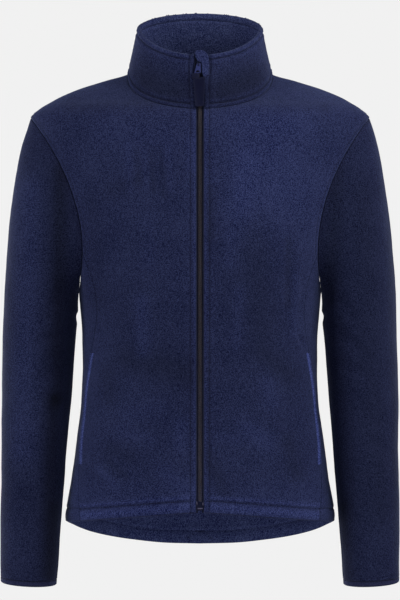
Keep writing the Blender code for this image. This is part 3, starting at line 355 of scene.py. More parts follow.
# The cloth's small form, in metres.  A ridge is (place, spread, share of the height).
WAVES = (
    # waves in a metre across, and up, shift, share of the waves' height
    (13.0, 13.0, 0.0, 1.10),
    (34.0, 24.0, 7.3, 0.55),
    (95.0, 95.0, 3.1, 0.14),
)
WAVES_AT_SEAM = 0.25  # share of their height
WAVES_FADE = 0.020  # from a seam to where they have their full height
CREASE_TROUGH = 1.35  # reach of a crease's trough, in the table's half widths
CREASE_RIDGE = (1.7, 1.2, 0.42)  # place and spread in the table's half widths
CREASE_WANDER = 0.18  # half widths that a crease strays from a straight line
CREASE_BENDS = 9.0  # radians from end to end
CREASE_SHIFT = 40.0  # radians in a metre across, so that no two creases bend alike
CREASE_END_FADE = 0.75  # share of its depth that a crease loses at its ends
CREASE_SEAM_FADE = (0.001, 0.012)  # from a seam, where a crease begins and where it is whole
CREASE_FACING = (0.05, 0.45)  # the cloth's turn to the side seen, where a crease begins and is whole
PAINTED_LIGHT_FACING = (-0.35, 0.15)
LINE_STEP = 0.0004  # between the points that a distance from a line is taken to
ON_BORDER = 0.0001
SEAM_ROUNDING = 0.0011
SEAM_OVERLAP = 0.0005
SEAM_LEAN = (0.008, 0.009)  # the band beside a seam that leans, and how far its neighbour is felt
# The dark lines in the seams and rows of stitches are painted shade in their troughs.
SEAM_LINE = 0.0014  # half the width of the dark line in a seam or a row of stitches
SEAM_DARK = 0.55
ROW_DARK = 0.60
ROW_RIDGE = (2.0, 1.6, 0.55)  # beyond a row; place and spread in trough reaches
ROW_LIGHT = (0.45, 0.62, 0.8)  # inside a row; place and spread in distances, and the outer ridge's share
INNER_SEAM_RIDGE = (1.9, 1.5, 0.35)
INNER_SEAM_LINE = 0.0016
INNER_FACE_PUFF = 0.8  # share of the outer face's swelling
STITCH_PROUD = 0.15  # share of its half thickness that a stitch's middle stands above the cloth

# The rows of stitching, and where light is painted on the cloth.  An edge's painted light is (place, reach,
# share), and a low part's is (height where it begins, height where it is whole, share).
ROWS_PAST_ZIP = (0.006, 0.0085)  # from the zip's edge to where the rows across it begin
ARM_ROW = 0.45
ZIP_EDGE_LIGHT = (0.0008, 0.0030, 0.40)
LOW_FRONT_LIGHT = (-0.545, -0.590, 0.18)
LOW_INSIDE_LIGHT = (-0.570, -0.602, 0.72)
COLLAR_EDGE_LIGHT = 0.25
CUFF_LINE = 0.0022
CUFF_LIGHT = 0.45
COLLAR_FUZZ = 230.0  # tufts in a metre of the collar's edge
COLLAR_FUZZ_EDGE = 0.0024
COLLAR_FUZZ_FACE = ((0.0012, 0.009), (0.0008, 0.006))  # (height, reach) of its swelling and of its rise
COLLAR_DOUBLED = 0.012  # from the neck seam to where the collar has its full thickness
COLLAR_BACK_ROW = (-0.05, 0.05, 0.35)  # from y, to y, how much farther from the edge the row runs
POCKET_HEAD = ((0.1360, -0.0690, -0.3745), (0.1440, -0.0620, -0.3750), (0.1510, -0.0540, -0.3765))
WELT_CLOTH = 0.0019
WELT_RISE = 0.0022
WELT_ROW = 0.66
WELT_STITCHES = (0.0032, 0.0024, 0.0003)  # pitch, length, half the thickness
WELT_TACKS = (0.0011, 0.0020, 0.0004)
# Painted light: how much lighter each welt is made, and a painted highlight along its inner edge.
WELT_LIGHT = {"left": 0.60, "right": 0.34}
WELT_EDGE_LIGHT = (0.0030, 0.0030, 0.45)
WELT_ENDS = (2, -3)  # the grid rows that the tacks run along

# Bodies and sides
PIECES_ON_JACKET = "jacket"
PIECES_ON_PULL = "pull"
SIDES = ((1, "left"), (-1, "right"))


# ---------------------------------------------------------------------------------------------
# Sizes and colours that a user would change
# ---------------------------------------------------------------------------------------------
def size(name, default, description):
    return FloatProperty(name=name, description=description, default=default, unit="LENGTH", precision=4)


def colour(name, default, description):
    return FloatVectorProperty(
        name=name, description=description, default=default, size=3, subtype="COLOR", min=0.0, max=1.0
    )


class JacketCloth(bpy.types.PropertyGroup):
    cloth: size("Cloth", 0.0025, "Thickness of the fleece")
    collar_cloth: size("Collar cloth", 0.0045, "Thickness of the two-layer collar")
    binding_cloth: size("Binding cloth", 0.0030, "Thickness of the cuff binding")
    ridge: size("Ridge", 0.0006, "How far the cloth swells between a seam and its topstitch")
    trough: size("Topstitch trough", 0.0010, "How deep a row of topstitching pulls the cloth in")
    trough_reach: size("Topstitch trough reach", 0.0021, "Half the width of that trough")
    zip_stitch: size("Zip topstitch", 0.0077, "From the front edge to its topstitch")
    hem_front: size("Front hem", 0.0165, "From the hem to its topstitch at the zip")
    hem_back: size("Back hem", 0.0180, "From the hem to its topstitch at the sides and back")
    arm_stitch: size("Armhole topstitch", 0.0058, "From the armhole seam to its topstitch on the body")
    edge_stitch: size("Collar topstitch", 0.0068, "From the collar's edge to its topstitch in front")
    foot_stitch: size("Neck topstitch", 0.0068, "From the neck seam to the topstitch on the collar")
    stitch_pitch: size("Stitch pitch", 0.0032, "From one stitch to the next")
    thread: size("Thread", 0.00030, "Half the thickness of the thread")
    waves: size("Waves", 0.0011, "Height of the cloth's broad soft waves")
    grain: FloatProperty(name="Pile grain", description="Pile tufts in a metre", default=770.0, min=50.0)


class JacketZip(bpy.types.PropertyGroup):
    pitch: size("Coil pitch", 0.0014, "From one turn of the coil to the next")
    half_width: size("Chain half width", 0.0026, "From the zip's middle to the chain's edge")
    chain_depth: size("Chain depth", 0.0019, "How far the chain lies behind the cloth's face")
    coil_height: size("Coil height", 0.0019, "Thickness of the coil, front to back")
    bevel: size("Edge rounding", 0.00028, "Rounding of the hard pieces' edges")


class JacketColours(bpy.types.PropertyGroup):
    fleece: colour("Fleece", (0.0129, 0.0192, 0.0750), "Colour of the fleece")
    # Painted light: a lighter copy of the fleece's colour, for the lit inside of the collar and of the
    # back's tail.
    inside: colour("Fleece inside", (0.0256, 0.0371, 0.1235), "Colour of the fleece's inside")
    binding: colour("Binding", (0.0120, 0.0160, 0.0560), "Colour of the cuff binding")
    thread: colour("Thread", (0.0055, 0.0065, 0.020), "Colour of the stitching")
    tape: colour("Tape", (0.0190, 0.0215, 0.0480), "Colour of the zip's tape")
    coil: colour("Coil", (0.0400, 0.0340, 0.0480), "Colour of the zip's coil")
    metal: colour("Metal", (0.030, 0.040, 0.150), "Colour of the slider and bail")
    rubber: colour("Rubber", (0.0033, 0.0048, 0.026), "Colour of the pull's tag and the zip's box")
    rubber_rim: colour("Rubber rim", (0.0075, 0.0095, 0.034), "Colour of the tag's translucent rim")
    # Painted highlight: the catch's pale colour stands for glints on the box's bar and pins.
    catch: colour("Catch", (0.0900, 0.0850, 0.1500), "Colour of the catch on the zip's box")


class JacketStage(bpy.types.PropertyGroup):
    backdrop: FloatProperty(name="Backdrop", description="Brightness of the pale surround", default=0.879)
    ambient: FloatProperty(name="Ambient", description="Strength of the light from all round", default=0.02)
    power: FloatProperty(name="Light power", description="Power of the soft lights, watts", default=100.0)
    floor_height: size("Floor", -1.5, "Height of the floor")
    floor_radius: size("Floor radius", 1.5, "Radius of the round floor")
    camera_distance: size("Camera distance", 5.0, "From the camera to the middle of the jacket")
    camera_height: size("Camera height", -0.312, "Height of the level camera")
    view_height: size("View height", 0.84, "What the picture takes in, top to bottom, at the jacket")


# ---------------------------------------------------------------------------------------------
# Curves through tables
# ---------------------------------------------------------------------------------------------
def track(rows, column=1):
    """A smooth run through one column of a table against its first, with no overshoot."""
    rows = sorted(rows)
    at = np.array([row[0] for row in rows], float)
    value = np.array([row[column] for row in rows], float)
    step = np.diff(at)
    slope = np.diff(value) / step
    turns = slope[:-1] * slope[1:] <= 0
    total = np.where(turns, 1.0, slope[:-1] + slope[1:])
    tangent = np.concatenate([slope[:1], 2 * slope[:-1] * slope[1:] / total, slope[-1:]])
    tangent[1:-1][turns] = 0.0

    def read(where):
        where = np.clip(np.asarray(where, float), at[0], at[-1])
        k = np.clip(np.searchsorted(at, where, side="right") - 1, 0, len(step) - 1)
        t = (where - at[k]) / step[k]
        start = (1 + 2 * t) * (1 - t) ** 2 * value[k] + t * (1 - t) ** 2 * step[k] * tangent[k]
        return start + t * t * (3 - 2 * t) * value[k + 1] + t * t * (t - 1) * step[k] * tangent[k + 1]

    return read


half_width = track(TORSO, 1)
front_depth = track(TORSO, 2)
back_depth = track(TORSO, 3)
hem_height = track(HEM)
ridge_height = track([(row[1], row[0]) for row in TORSO if row[0] >= ARMHOLE_TOP[1]])
sleeve_ring = [track(SLEEVE, column) for column in range(1, 7)]
zip_lean = track(ZIP_LEAN)


def blend(a, b, share):
    return a + (b - a) * share


def bump(distance, reach):
    """A smooth hump of height 1, which is 0 from reach on."""
    return np.clip(1 - (distance / reach) ** 2, 0.0, None) ** 2


def spans(*stops):
    """Shares that run through stops, each (end, steps from the stop before)."""
    at = [0.0]
    for end, steps in stops:
        at += list(np.linspace(at[-1], end, steps + 1)[1:])
    return np.array(at)


# ---------------------------------------------------------------------------------------------
# The body's form
# ---------------------------------------------------------------------------------------------
def fold_depth(turn, height):
    depth = np.zeros(np.broadcast(turn, height).shape)
    for fold_turn, spread, top, bottom, deep in BODY_FOLDS:
        apart = (turn - fold_turn + 180.0) % 360.0 - 180.0
        depth += deep * bump(apart, 2 * spread) * bump(height - (top + bottom) / 2, (top - bottom) / 2)
    return depth


def body_point(turn, height):
    turn, height = np.broadcast_arrays(np.asarray(turn, float), np.asarray(height, float))
    sine = np.sin(np.radians(turn))
    cosine = np.cos(np.radians(turn))
    across = np.abs(sine) ** (2 / BODY_ROUNDNESS)
    along = np.abs(cosine) ** (2 / BODY_ROUNDNESS)
    depth = np.where(cosine > 0, -front_depth(height), back_depth(height))
    sink = fold_depth(turn, height)
    x = np.copysign(half_width(height) * across, turn) - sink * sine
    return np.stack([x, depth * along + sink * cosine, height], axis=-1)


def turn_at(x, height):
    """The turn, 0 to 90, at which a section is x wide."""
    share = np.clip(x / half_width(height), 0.0, 1.0)
    return np.degrees(np.arcsin(np.clip(share ** (BODY_ROUNDNESS / 2), 0.0, 1.0)))


def edge_turn(height):
    return turn_at(FRONT_OPENING / 2, height)


def armhole_place(turn):
    """Place of the armhole seam, by the turn round it: 0 at the shoulder tip, 90 at the front."""
    turn = np.asarray(turn, float)
    cosine = np.cos(np.radians(turn))
    middle_x = (ARMHOLE_TOP[0] + ARMHOLE_BOTTOM[0]) / 2
    middle_z = (ARMHOLE_TOP[1] + ARMHOLE_BOTTOM[1]) / 2
    height = middle_z + (ARMHOLE_TOP[1] - ARMHOLE_BOTTOM[1]) / 2 * cosine
    scoop = np.where(turn <= 180, ARMHOLE_FRONT_SCOOP, ARMHOLE_BACK_SCOOP)
    x = middle_x + (ARMHOLE_TOP[0] - ARMHOLE_BOTTOM[0]) / 2 * cosine - scoop * (1 - cosine**2)
    at = turn_at(x, height)
    return np.stack([np.where(turn <= 180, at, 180 - at), height], axis=-1)


ARMHOLE_SEAM_END = armhole_place(ARMHOLE_SEAM_TURN)
seam_turn = track([*SIDE_SEAM, (float(ARMHOLE_SEAM_END[1]), float(ARMHOLE_SEAM_END[0]))])


def neck_place(turn):
    """Place of the neck seam, by the turn round the neck."""
    turn = np.asarray(turn, float)
    sine = np.sin(np.radians(turn))
    cosine = np.abs(np.cos(np.radians(turn)))
    front = blend(NECK_SIDE_HEIGHT, NECK_FRONT_HEIGHT, cosine**NECK_FRONT_SCOOP)
    back = blend(NECK_SIDE_HEIGHT, NECK_BACK_HEIGHT, cosine)
    height = np.where(turn <= 90, front, back)
    at = turn_at(NECK_HALF_WIDTH * sine, height)
    return np.stack([np.where(turn <= 90, at, 180 - at), height], axis=-1)


def shoulder_place(share):
    """Place on the shoulder seam: share 0 at the neck point, 1 at the tip."""
    height = ridge_height(blend(NECK_HALF_WIDTH, ARMHOLE_TOP[0], np.asarray(share, float)))
    return np.stack([np.full(height.shape, 90.0), height], axis=-1)


def points_of(places, side):
    """The points of a grid of places; side is 1 for the wearer's left, -1 for the right."""
    points = body_point(side * places[..., 0], places[..., 1])
    return points if side > 0 else points[:, ::-1]


def place_outside(points):
    """The body's places that lie straight out from points inside it."""
    x, y, height = np.moveaxis(points, -1, 0)
    depth = np.where(y < 0, front_depth(height), back_depth(height))
    across = np.abs(x / half_width(height)) ** (BODY_ROUNDNESS / 2)
    along = np.abs(y / depth) ** (BODY_ROUNDNESS / 2)
    at = np.degrees(np.arctan2(across, along))
    return np.stack([np.where(y < 0, at, 180 - at), height], axis=-1)


def upper_places(bottom, top, left, right, columns, rows):
    """The grid between four edges of an upper panel, spread evenly over the body's surface."""
    south, north, west, east = (body_point(edge[:, 0], edge[:, 1]) for edge in (bottom, top, left, right))
    s = columns[None, :, None]
    t = rows[:, None, None]
    ruled = blend(south[None], north[None], t) + blend(west[:, None], east[:, None], s)
    corners = blend(blend(south[0], south[-1], s), blend(north[0], north[-1], s), t)
    places = place_outside(ruled - corners)
    places[0] = bottom
    places[-1] = top
    places[:, 0] = left
    places[:, -1] = right
    return places


def front_places(columns, lower_rows, upper_rows):
    hem = hem_height(blend(1.0, SIDE_SEAM_FOOT, columns))
    top = blend(YOKE_HEIGHT, ARMHOLE_SEAM_END[1], columns**2)
    height = blend(hem[None], top[None], lower_rows[:, None])
    lower = np.stack([blend(edge_turn(height), seam_turn(height), columns[None]), height], axis=-1)
    left_height = blend(YOKE_HEIGHT, NECK_FRONT_HEIGHT, upper_rows)
    left = np.stack([edge_turn(left_height), left_height], axis=-1)
    right = armhole_place(ARMHOLE_SEAM_TURN * (1 - upper_rows))
    neck = neck_place(track(FRONT_NECK_TURNS)(columns))
    shoulder = shoulder_place(track(FRONT_SHOULDER)(columns))
    north = np.where(columns[:, None] <= FRONT_SHOULDER[0][0], neck, shoulder)
    left[-1] = north[0]
    upper = upper_places(lower[-1], north, left, right, columns, upper_rows)
    return np.concatenate([lower, upper[1:]])


def back_places(under_columns, columns, lower_rows, upper_rows):
    """Half of the back: the block below the armhole, and the one above it."""
    under = armhole_place(blend(ARMHOLE_SEAM_TURN, 360 - ARMHOLE_SEAM_TURN, under_columns))
    centre = np.array([180.0, YOKE_HEIGHT])
    tops = np.concatenate([under, blend(under[-1], centre, columns[1:, None])])
    even = np.concatenate([under_columns * UNDERARM_SHARE, blend(UNDERARM_SHARE, 1.0, columns[1:])])
    hem = hem_height(blend(SIDE_SEAM_FOOT, 180.0, even))
    height = blend(hem[None], tops[None, :, 1], lower_rows[:, None])
    start = seam_turn(tops[:, 1])
    share = blend(even[None], ((tops[:, 0] - start) / (180.0 - start))[None], lower_rows[:, None])
    lower = np.stack([blend(seam_turn(height), 180.0, share), height], axis=-1)
    left = armhole_place(blend(360 - ARMHOLE_SEAM_TURN, 360.0, upper_rows))
    right_height = blend(YOKE_HEIGHT, NECK_BACK_HEIGHT, upper_rows)
    right = np.stack([np.full(upper_rows.shape, 180.0), right_height], axis=-1)
    shoulder = shoulder_place(track(BACK_SHOULDER)(columns))
    neck = neck_place(track(BACK_NECK_TURNS)(columns))
    north = np.where(columns[:, None] < BACK_NECK_TURNS[0][0], shoulder, neck)
    upper = upper_places(lower[-1][len(under_columns) - 1 :], north, left, right, columns, upper_rows)
    return lower, upper


# ---------------------------------------------------------------------------------------------
# Sleeves and collar
# ---------------------------------------------------------------------------------------------
def plain_ring(ring, turn):
    inner_x, inner_z, outer_x, outer_z, middle_y, half_depth = (read(ring) for read in sleeve_ring)
    cosine = np.cos(np.radians(turn))
    sine = np.sin(np.radians(turn))
    x = (inner_x + outer_x) / 2 + (outer_x - inner_x) / 2 * cosine
    z = (inner_z + outer_z) / 2 + (outer_z - inner_z) / 2 * cosine
    drop = CUFF_FRONT_DROP * np.clip(sine, 0.0, None) * np.clip(ring / SLEEVE_END, 0.0, 1.0) ** 4
    return np.stack([x, middle_y - half_depth * sine, z - drop], axis=-1)


def sleeve_points(rings, turns, side):
    """A grid of the sleeve; the turn is 0 at its outer side and 90 at its front."""
    ring, turn = np.meshgrid(rings, turns, indexing="ij")
    fade = np.clip(1 - ring / ARMHOLE_FADE_RINGS, 0.0, None) ** 2
    place = armhole_place(turn)
    seam = body_point(side * place[..., 0], place[..., 1]) * np.array([side, 1.0, 1.0])
    points = plain_ring(ring, turn) + (seam - plain_ring(np.zeros_like(ring), turn)) * fade[..., None]
    out = np.stack([np.cos(np.radians(turn)), -np.sin(np.radians(turn)), np.zeros_like(turn)], axis=-1)
    for fold_turn, spread, at, reach, deep in SLEEVE_FOLDS:
        apart = (turn - fold_turn + 180.0) % 360.0 - 180.0
        points -= out * (deep * bump(apart, spread) * bump(ring - at, reach))[..., None]
    return points if side > 0 else points[:, ::-1] * np.array([-1.0, 1.0, 1.0])


def collar_point(turn, rise):
    """A point of the collar's outer face; the turn is signed and rise runs from foot to edge."""
    around = np.abs(turn)
    sine = np.sin(np.radians(around))
    cosine = np.cos(np.radians(around))
    side = np.copysign(1.0, turn)
    place = neck_place(around)
    foot = body_point(side * place[..., 0], place[..., 1])
    reach = np.where(cosine > 0, -COLLAR_TOP_FRONT, COLLAR_TOP_BACK)
    scoop = np.clip(cosine, 0.0, None) ** COLLAR_FRONT_SCOOP
    front = blend(COLLAR_TOP_SIDE_HEIGHT, COLLAR_TOP_FRONT_HEIGHT, scoop)
    back = blend(COLLAR_TOP_SIDE_HEIGHT, COLLAR_TOP_BACK_HEIGHT, np.clip(-cosine, 0.0, None))
    height = np.where(cosine > 0, front, back)
    edge_sine = math.sin(math.radians(COLLAR_END_TURN))
    slack = FRONT_OPENING / 2 - COLLAR_TOP_HALF_WIDTH * edge_sine
    across = COLLAR_TOP_HALF_WIDTH * sine + slack * (1 - sine)
    top = np.stack([side * across, -reach * cosine, height], axis=-1)
    point = blend(foot, top, np.asarray(rise)[..., None])
    point[..., 0] += zip_lean(rise) * bump(around, ZIP_LEAN_SPREAD)
    return point


def zip_point(rise_or_height, on_collar):
    """The zip's middle line: a height below the neck, a rise inside the collar."""
    if on_collar:
        turn = np.array(COLLAR_END_TURN)
        ends = [collar_point(side * turn, np.array(rise_or_height)) for side, _ in SIDES]
    else:
        turn = edge_turn(rise_or_height)
        ends = [body_point(side * turn, rise_or_height) for side, _ in SIDES]
    return (ends[0] + ends[1]) / 2


@functools.cache
def zip_line():
    """Points up the zip's middle 1 mm apart, and their outward directions, square to the zip."""
    low = [zip_point(height, False) for height in np.linspace(ZIP_FOOT, NECK_FRONT_HEIGHT - 0.001, 600)]
    high = [zip_point(rise, True) for rise in np.linspace(0.01, 1.0, 72)]
    points = np.array(low + high)
    along = np.gradient(points, axis=0)
    out = np.stack([np.zeros(len(points)), -along[:, 2], along[:, 1]], axis=-1)
    return points, out / np.linalg.norm(out, axis=1, keepdims=True)


def zip_at(height):
    points, out = zip_line()
    read = [np.interp(height, points[:, 2], column) for column in (*points.T, *out.T)]
    return np.array(read[:3]), np.array(read[3:])


# ---------------------------------------------------------------------------------------------
# Lines on the cloth: seams, topstitching, creases
# ---------------------------------------------------------------------------------------------
def evenly(line, pitch):
    """The line's points again, one pitch apart."""
    along = np.concatenate([[0.0], np.cumsum(np.linalg.norm(np.diff(line, axis=0), axis=1))])
    where = np.linspace(0.0, along[-1], max(int(along[-1] / pitch), 1) + 1)
    return np.stack([np.interp(where, along, column) for column in line.T], axis=-1)


def tree_of(points):
    tree = KDTree(len(points))
    for index, point in enumerate(points):
        tree.insert(point, index)
    tree.balance()
    return tree


def distance_to(line, points):
    """How far each point is from a line."""
    tree = tree_of(evenly(line, LINE_STEP))
    return np.array([tree.find(point)[2] for point in points])


def ramp(value, low, high):
    """0 below low, 1 above high, and smooth between."""
    share = np.clip((value - low) / (high - low), 0.0, 1.0)
    return share * share * (3 - 2 * share)


def cloth_waves(points):
    """Broad soft unevenness, the same for every panel at the same place."""
    height = np.zeros(len(points))
    for across, up, shift, share in WAVES:
        places = points * np.array([across, across, up]) + shift
        height += share * np.array([noise.noise(Vector(place)) for place in places])
    return bpy.context.scene.jacket_cloth.waves * height


def beside_stroke(points, x, z, to_x, to_z):
    """The share along a stroke, seen from the front, and the distances beside it and past its ends."""
    run = np.array([to_x - x, to_z - z])
    length = np.linalg.norm(run)
    place = points[:, [0, 2]] - np.array([x, z])
    share = place @ run / length**2
    near = np.clip(share, 0.0, 1.0)
    side = (place[:, 0] * run[1] - place[:, 1] * run[0]) / length
    return near, side, np.abs(share - near) * length


def crease_depth(name, points, outs):
    """Troughs, each with a low ridge on both sides, drawn on the front or the back of a panel."""
    depth = np.zeros(len(points))
    ridge_at, ridge_spread, ridge_share = CREASE_RIDGE
    strokes = [(seen, *row) for (panel, seen), rows in CREASES.items() if panel == name for row in rows]
    for seen, x, z, to_x, to_z, half, deep in strokes:
        near, side, beyond = beside_stroke(points, x, z, to_x, to_z)
        wander = CREASE_WANDER * half * np.sin(CREASE_BENDS * near + CREASE_SHIFT * x)
        apart = np.hypot(side + wander, beyond)
        fade = ramp(seen * outs[:, 1], *CREASE_FACING) * (1 - CREASE_END_FADE * (2 * near - 1) ** 2)
        ridges = bump(apart - ridge_at * half, ridge_spread * half)
        depth += deep * fade * (bump(apart, CREASE_TROUGH * half) - ridge_share * ridges)
    return depth


def painted_light_of(name, points, outs):
    """How much lighter or darker the strokes of painted light and shade make the panel."""
    painted_light_amount = np.zeros(len(points))
    strokes = [(FRONT, *row) for row in PAINTED_LIGHT.get(name, ())]
    if name == "back":
        strokes += [(BACK, -x, z, -to_x, *rest) for x, z, to_x, *rest in BODY_PAINTED_LIGHT]
    if name.startswith(("front", "back")):
        strokes += [(FRONT, *row) for row in BODY_PAINTED_LIGHT]
    for seen, x, z, to_x, to_z, half, share in strokes:
        _, side, beyond = beside_stroke(points, x, z, to_x, to_z)
        spread = np.exp(-(side**2 + beyond**2) / half**2)
        painted_light_amount += share * spread * ramp(seen * outs[:, 1], *PAINTED_LIGHT_FACING)
    return painted_light_amount


def low_part(points, start, full):
    """0 above one height, 1 below another, and smooth between."""
    return ramp(-points[:, 2], -start, -full)


class Panel:
    """A panel of cloth: grids of its outer face, the lines it is sewn or folded at, its rows."""

    def __init__(self, name, patches, borders, thickness):
        self.name = name
        self.borders = borders
        self.work = bmesh.new()
        for patch in patches:
            rows, columns = patch.shape[:2]
            grid = bmesh.ops.create_grid(self.work, x_segments=columns - 1, y_segments=rows - 1, size=0.5)
            for vertex, point in zip(grid["verts"], patch.reshape(-1, 3)):
                vertex.co = point
        bmesh.ops.remove_doubles(self.work, verts=self.work.verts, dist=2e-5)
        self.work.normal_update()
        self.points = np.array([vertex.co for vertex in self.work.verts])
        self.outs = np.array([vertex.normal for vertex in self.work.verts])
        self.thickness = np.full(len(self.points), thickness)
        self.apart = {key: distance_to(line, self.points) for key, line in borders.items()}
        self.edge = np.min(list(self.apart.values()), axis=0)
        self.rise = np.zeros(len(self.points))
        self.puff = np.zeros(len(self.points))
        self.lines = np.zeros(len(self.points))
        self.nap = painted_light_of(name, self.points, self.outs)
        self.inside_painted_light = np.zeros(len(self.points))
        self.overlap = np.full(len(self.points), SEAM_OVERLAP)

    def lean_to(self, others):
        """Near a seam, turns the wall towards the panel on its other side."""
        rims = [panel.edge < ON_BORDER for panel in others]
        points = np.concatenate([panel.points[rim] for panel, rim in zip(others, rims)])
        outs = np.concatenate([panel.outs[rim] for panel, rim in zip(others, rims)])
        tree = tree_of(points)
        leaning = self.outs.copy()
        band, reach = SEAM_LEAN
        for index in np.flatnonzero(self.edge < band):
            _, found, apart = tree.find(self.points[index])
            if apart < reach:
                leaning[index] += outs[found] * (1 - apart / reach) ** 2
        return leaning / np.linalg.norm(leaning, axis=1, keepdims=True)

    def topstitch(self, key, distance, keep=1.0, deep=1.0, painted_light_amount=0.0):
        """A row of stitching beside a line: it pulls the cloth in, which swells on both sides."""
        cloth = bpy.context.scene.jacket_cloth
        apart = self.apart[key]
        reach = cloth.trough_reach
        ridge_at, ridge_spread, ridge_share = ROW_RIDGE
        outer = bump(apart - distance - ridge_at * reach, ridge_spread * reach)
        inner = bump(apart - distance / 2, distance / 2)
        trough = bump(apart - distance, reach)
        self.puff += keep * deep * (cloth.ridge * (inner + ridge_share * outer) - cloth.trough * trough)
        # Painted light on the swollen band inside the row and on the ridge beyond it, and painted shade in
        # a dark line along the trough.
        light_at, light_spread, light_share = ROW_LIGHT
        band = bump(apart - distance * light_at, distance * light_spread)
        self.nap += keep * painted_light_amount * (band + light_share * outer)
        self.lines = np.maximum(self.lines, ROW_DARK * keep * bump(apart - distance, SEAM_LINE))

    def inner_seam(self, line, depth=0.0011, reach=0.0026):
        """A seam that runs inside the panel."""
        apart = distance_to(line, self.points)
        ridge_at, ridge_spread, ridge_share = INNER_SEAM_RIDGE
        ridge = bump(apart - ridge_at * reach, ridge_spread * reach)
        self.puff += depth * (ridge_share * ridge - bump(apart, reach))
        # Painted shade in the seam's trough.
        self.lines = np.maximum(self.lines, bump(apart, INNER_SEAM_LINE))

    def sew(self, others, rounding=SEAM_ROUNDING):
        """Gives the panel its wall, whose edges close in a round and meet in the seams."""
        outs = self.lean_to(others)
        share = 1 - np.clip(self.edge / rounding, 0.0, 1.0)
        half = self.thickness / 2 * np.sqrt(np.clip(1 - share**2, 0.0, None))
        # Painted shade in the seam's trough.
        self.lines = np.maximum(self.lines, SEAM_DARK * bump(self.edge, SEAM_LINE))
        inland = blend(WAVES_AT_SEAM, 1.0, ramp(self.edge, 0.0, WAVES_FADE))
        rise = (self.rise + cloth_waves(self.points)) * inland
        rise -= crease_depth(self.name, self.points, self.outs) * ramp(self.edge, *CREASE_SEAM_FADE)
        centre = self.points + outs * (rise - self.thickness / 2)[:, None]
        self.outer = centre + outs * (half + self.puff)[:, None]
        inner_puff = np.minimum(self.puff, INNER_FACE_PUFF * self.puff)
        self.inner = centre - outs * (half + inner_puff)[:, None]

    def mesh(self):
        """Both faces of the wall, closed along the borders, with what its finish reads."""
        line = self.work.verts.layers.float.new("seam_line")
        nap = self.work.verts.layers.float.new("nap")
        first = list(self.work.verts)
        everything = list(self.work.verts) + list(self.work.edges) + list(self.work.faces)
        copied = bmesh.ops.duplicate(self.work, geom=everything)
        second = [copied["vert_map"][vertex] for vertex in first]
        turned = [part for part in copied["geom"] if isinstance(part, bmesh.types.BMFace)]
        bmesh.ops.reverse_faces(self.work, faces=turned)
        self.inside = [0] * (len(self.work.faces) - len(turned)) + [1] * len(turned)
        rim = []
        places = {vertex: index for index, vertex in enumerate(first)}
        for index, (vertex, other) in enumerate(zip(first, second)):
            vertex.co = self.outer[index]
            other.co = self.inner[index]
            vertex[line] = other[line] = float(self.lines[index])
            vertex[nap] = float(self.nap[index])
            other[nap] = float(self.inside_painted_light[index])
            if vertex.is_boundary:
                inwards = [edge for edge in vertex.link_edges if not edge.is_boundary]
                within = [places[edge.other_vert(vertex)] for edge in inwards] or [index]
                beyond = self.points[index] - self.points[within].mean(axis=0)
                beyond *= self.overlap[index] / max(np.linalg.norm(beyond), 1e-6)
                vertex.co = other.co = (self.outer[index] + self.inner[index]) / 2 + beyond
                rim += [vertex, other]
        bmesh.ops.remove_doubles(self.work, verts=rim, dist=1e-6)
        mesh = bpy.data.meshes.new(self.name)
        self.work.to_mesh(mesh)
        self.work.free()
        return mesh

    def surface(self):
        """The panel's bare form and its finished outer face, for what is stitched on it."""
        faces = [[vertex.index for vertex in face.verts] for face in self.work.faces]
        layers = (self.points, self.outer)
        return [BVHTree.FromPolygons([Vector(point) for point in layer], faces) for layer in layers]


def stitch_line(surface, line, distance, pitch):
    """Places of the stitches of a row that runs beside a line, each (place, along, out)."""
    form, face = surface
    line = evenly(line, pitch)
    distances = np.broadcast_to(distance(line) if callable(distance) else distance, len(line))
    along = np.gradient(line, axis=0)
    along /= np.linalg.norm(along, axis=1, keepdims=True)
    total = [0.0, 0.0]
    sides = []
    for point, run, far in zip(line, along, distances):
        _, out, _, _ = form.find_nearest(point)
        square = np.cross(out, run)
        sides.append(square)
        for k, sign in enumerate((1, -1)):
            total[k] += form.find_nearest(point + sign * far * square)[3]
    sign = 1 if total[0] <= total[1] else -1
    places = []
    for point, run, square, far in zip(line, along, sides, distances):
        place, out, _, _ = face.find_nearest(point + sign * far * square)
        places.append((np.array(place), run, np.array(out)))
    return places


def sew_stitches(work, places, length, thick):
    """Threads like grains of rice, half sunk in the cloth."""
    for place, run, out in places:
        run = Vector(run)
        out = Vector(out)
        across = out.cross(run).normalized()
        run = across.cross(out)
        turned = Matrix((run * length / 2, across * thick, out * thick)).transposed().to_4x4()
        spot = Matrix.Translation(Vector(place) + out * thick * STITCH_PROUD) @ turned
        bmesh.ops.create_icosphere(work, subdivisions=1, radius=1.0, matrix=spot)


# ---------------------------------------------------------------------------------------------
# Putting pieces in the scene
# ---------------------------------------------------------------------------------------------
def place_piece(name, mesh, body, finish, nodes=(), smooth=True):
    made = bpy.data.objects.new(name, mesh)
    bpy.context.scene.collection.objects.link(made)
    mesh.materials.clear()
    mesh.materials.append(finish)
    for face in mesh.polygons:
        face.use_smooth = smooth
        face.material_index = 0
    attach(made, body)
    if nodes:
        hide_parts(*nodes)
    return made


def mesh_of(name, work):
    mesh = bpy.data.meshes.new(name)
    work.to_mesh(mesh)
    work.free()
    return mesh


def merged_copy(node):
    """A CAD node's shape as one closed mesh with flat faces whole."""
    work = bmesh.new()
    work.from_mesh(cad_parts[node].data)
    bmesh.ops.remove_doubles(work, verts=work.verts, dist=2e-6)
    bmesh.ops.dissolve_limit(work, angle_limit=math.radians(1.0), verts=work.verts, edges=work.edges)
    return work


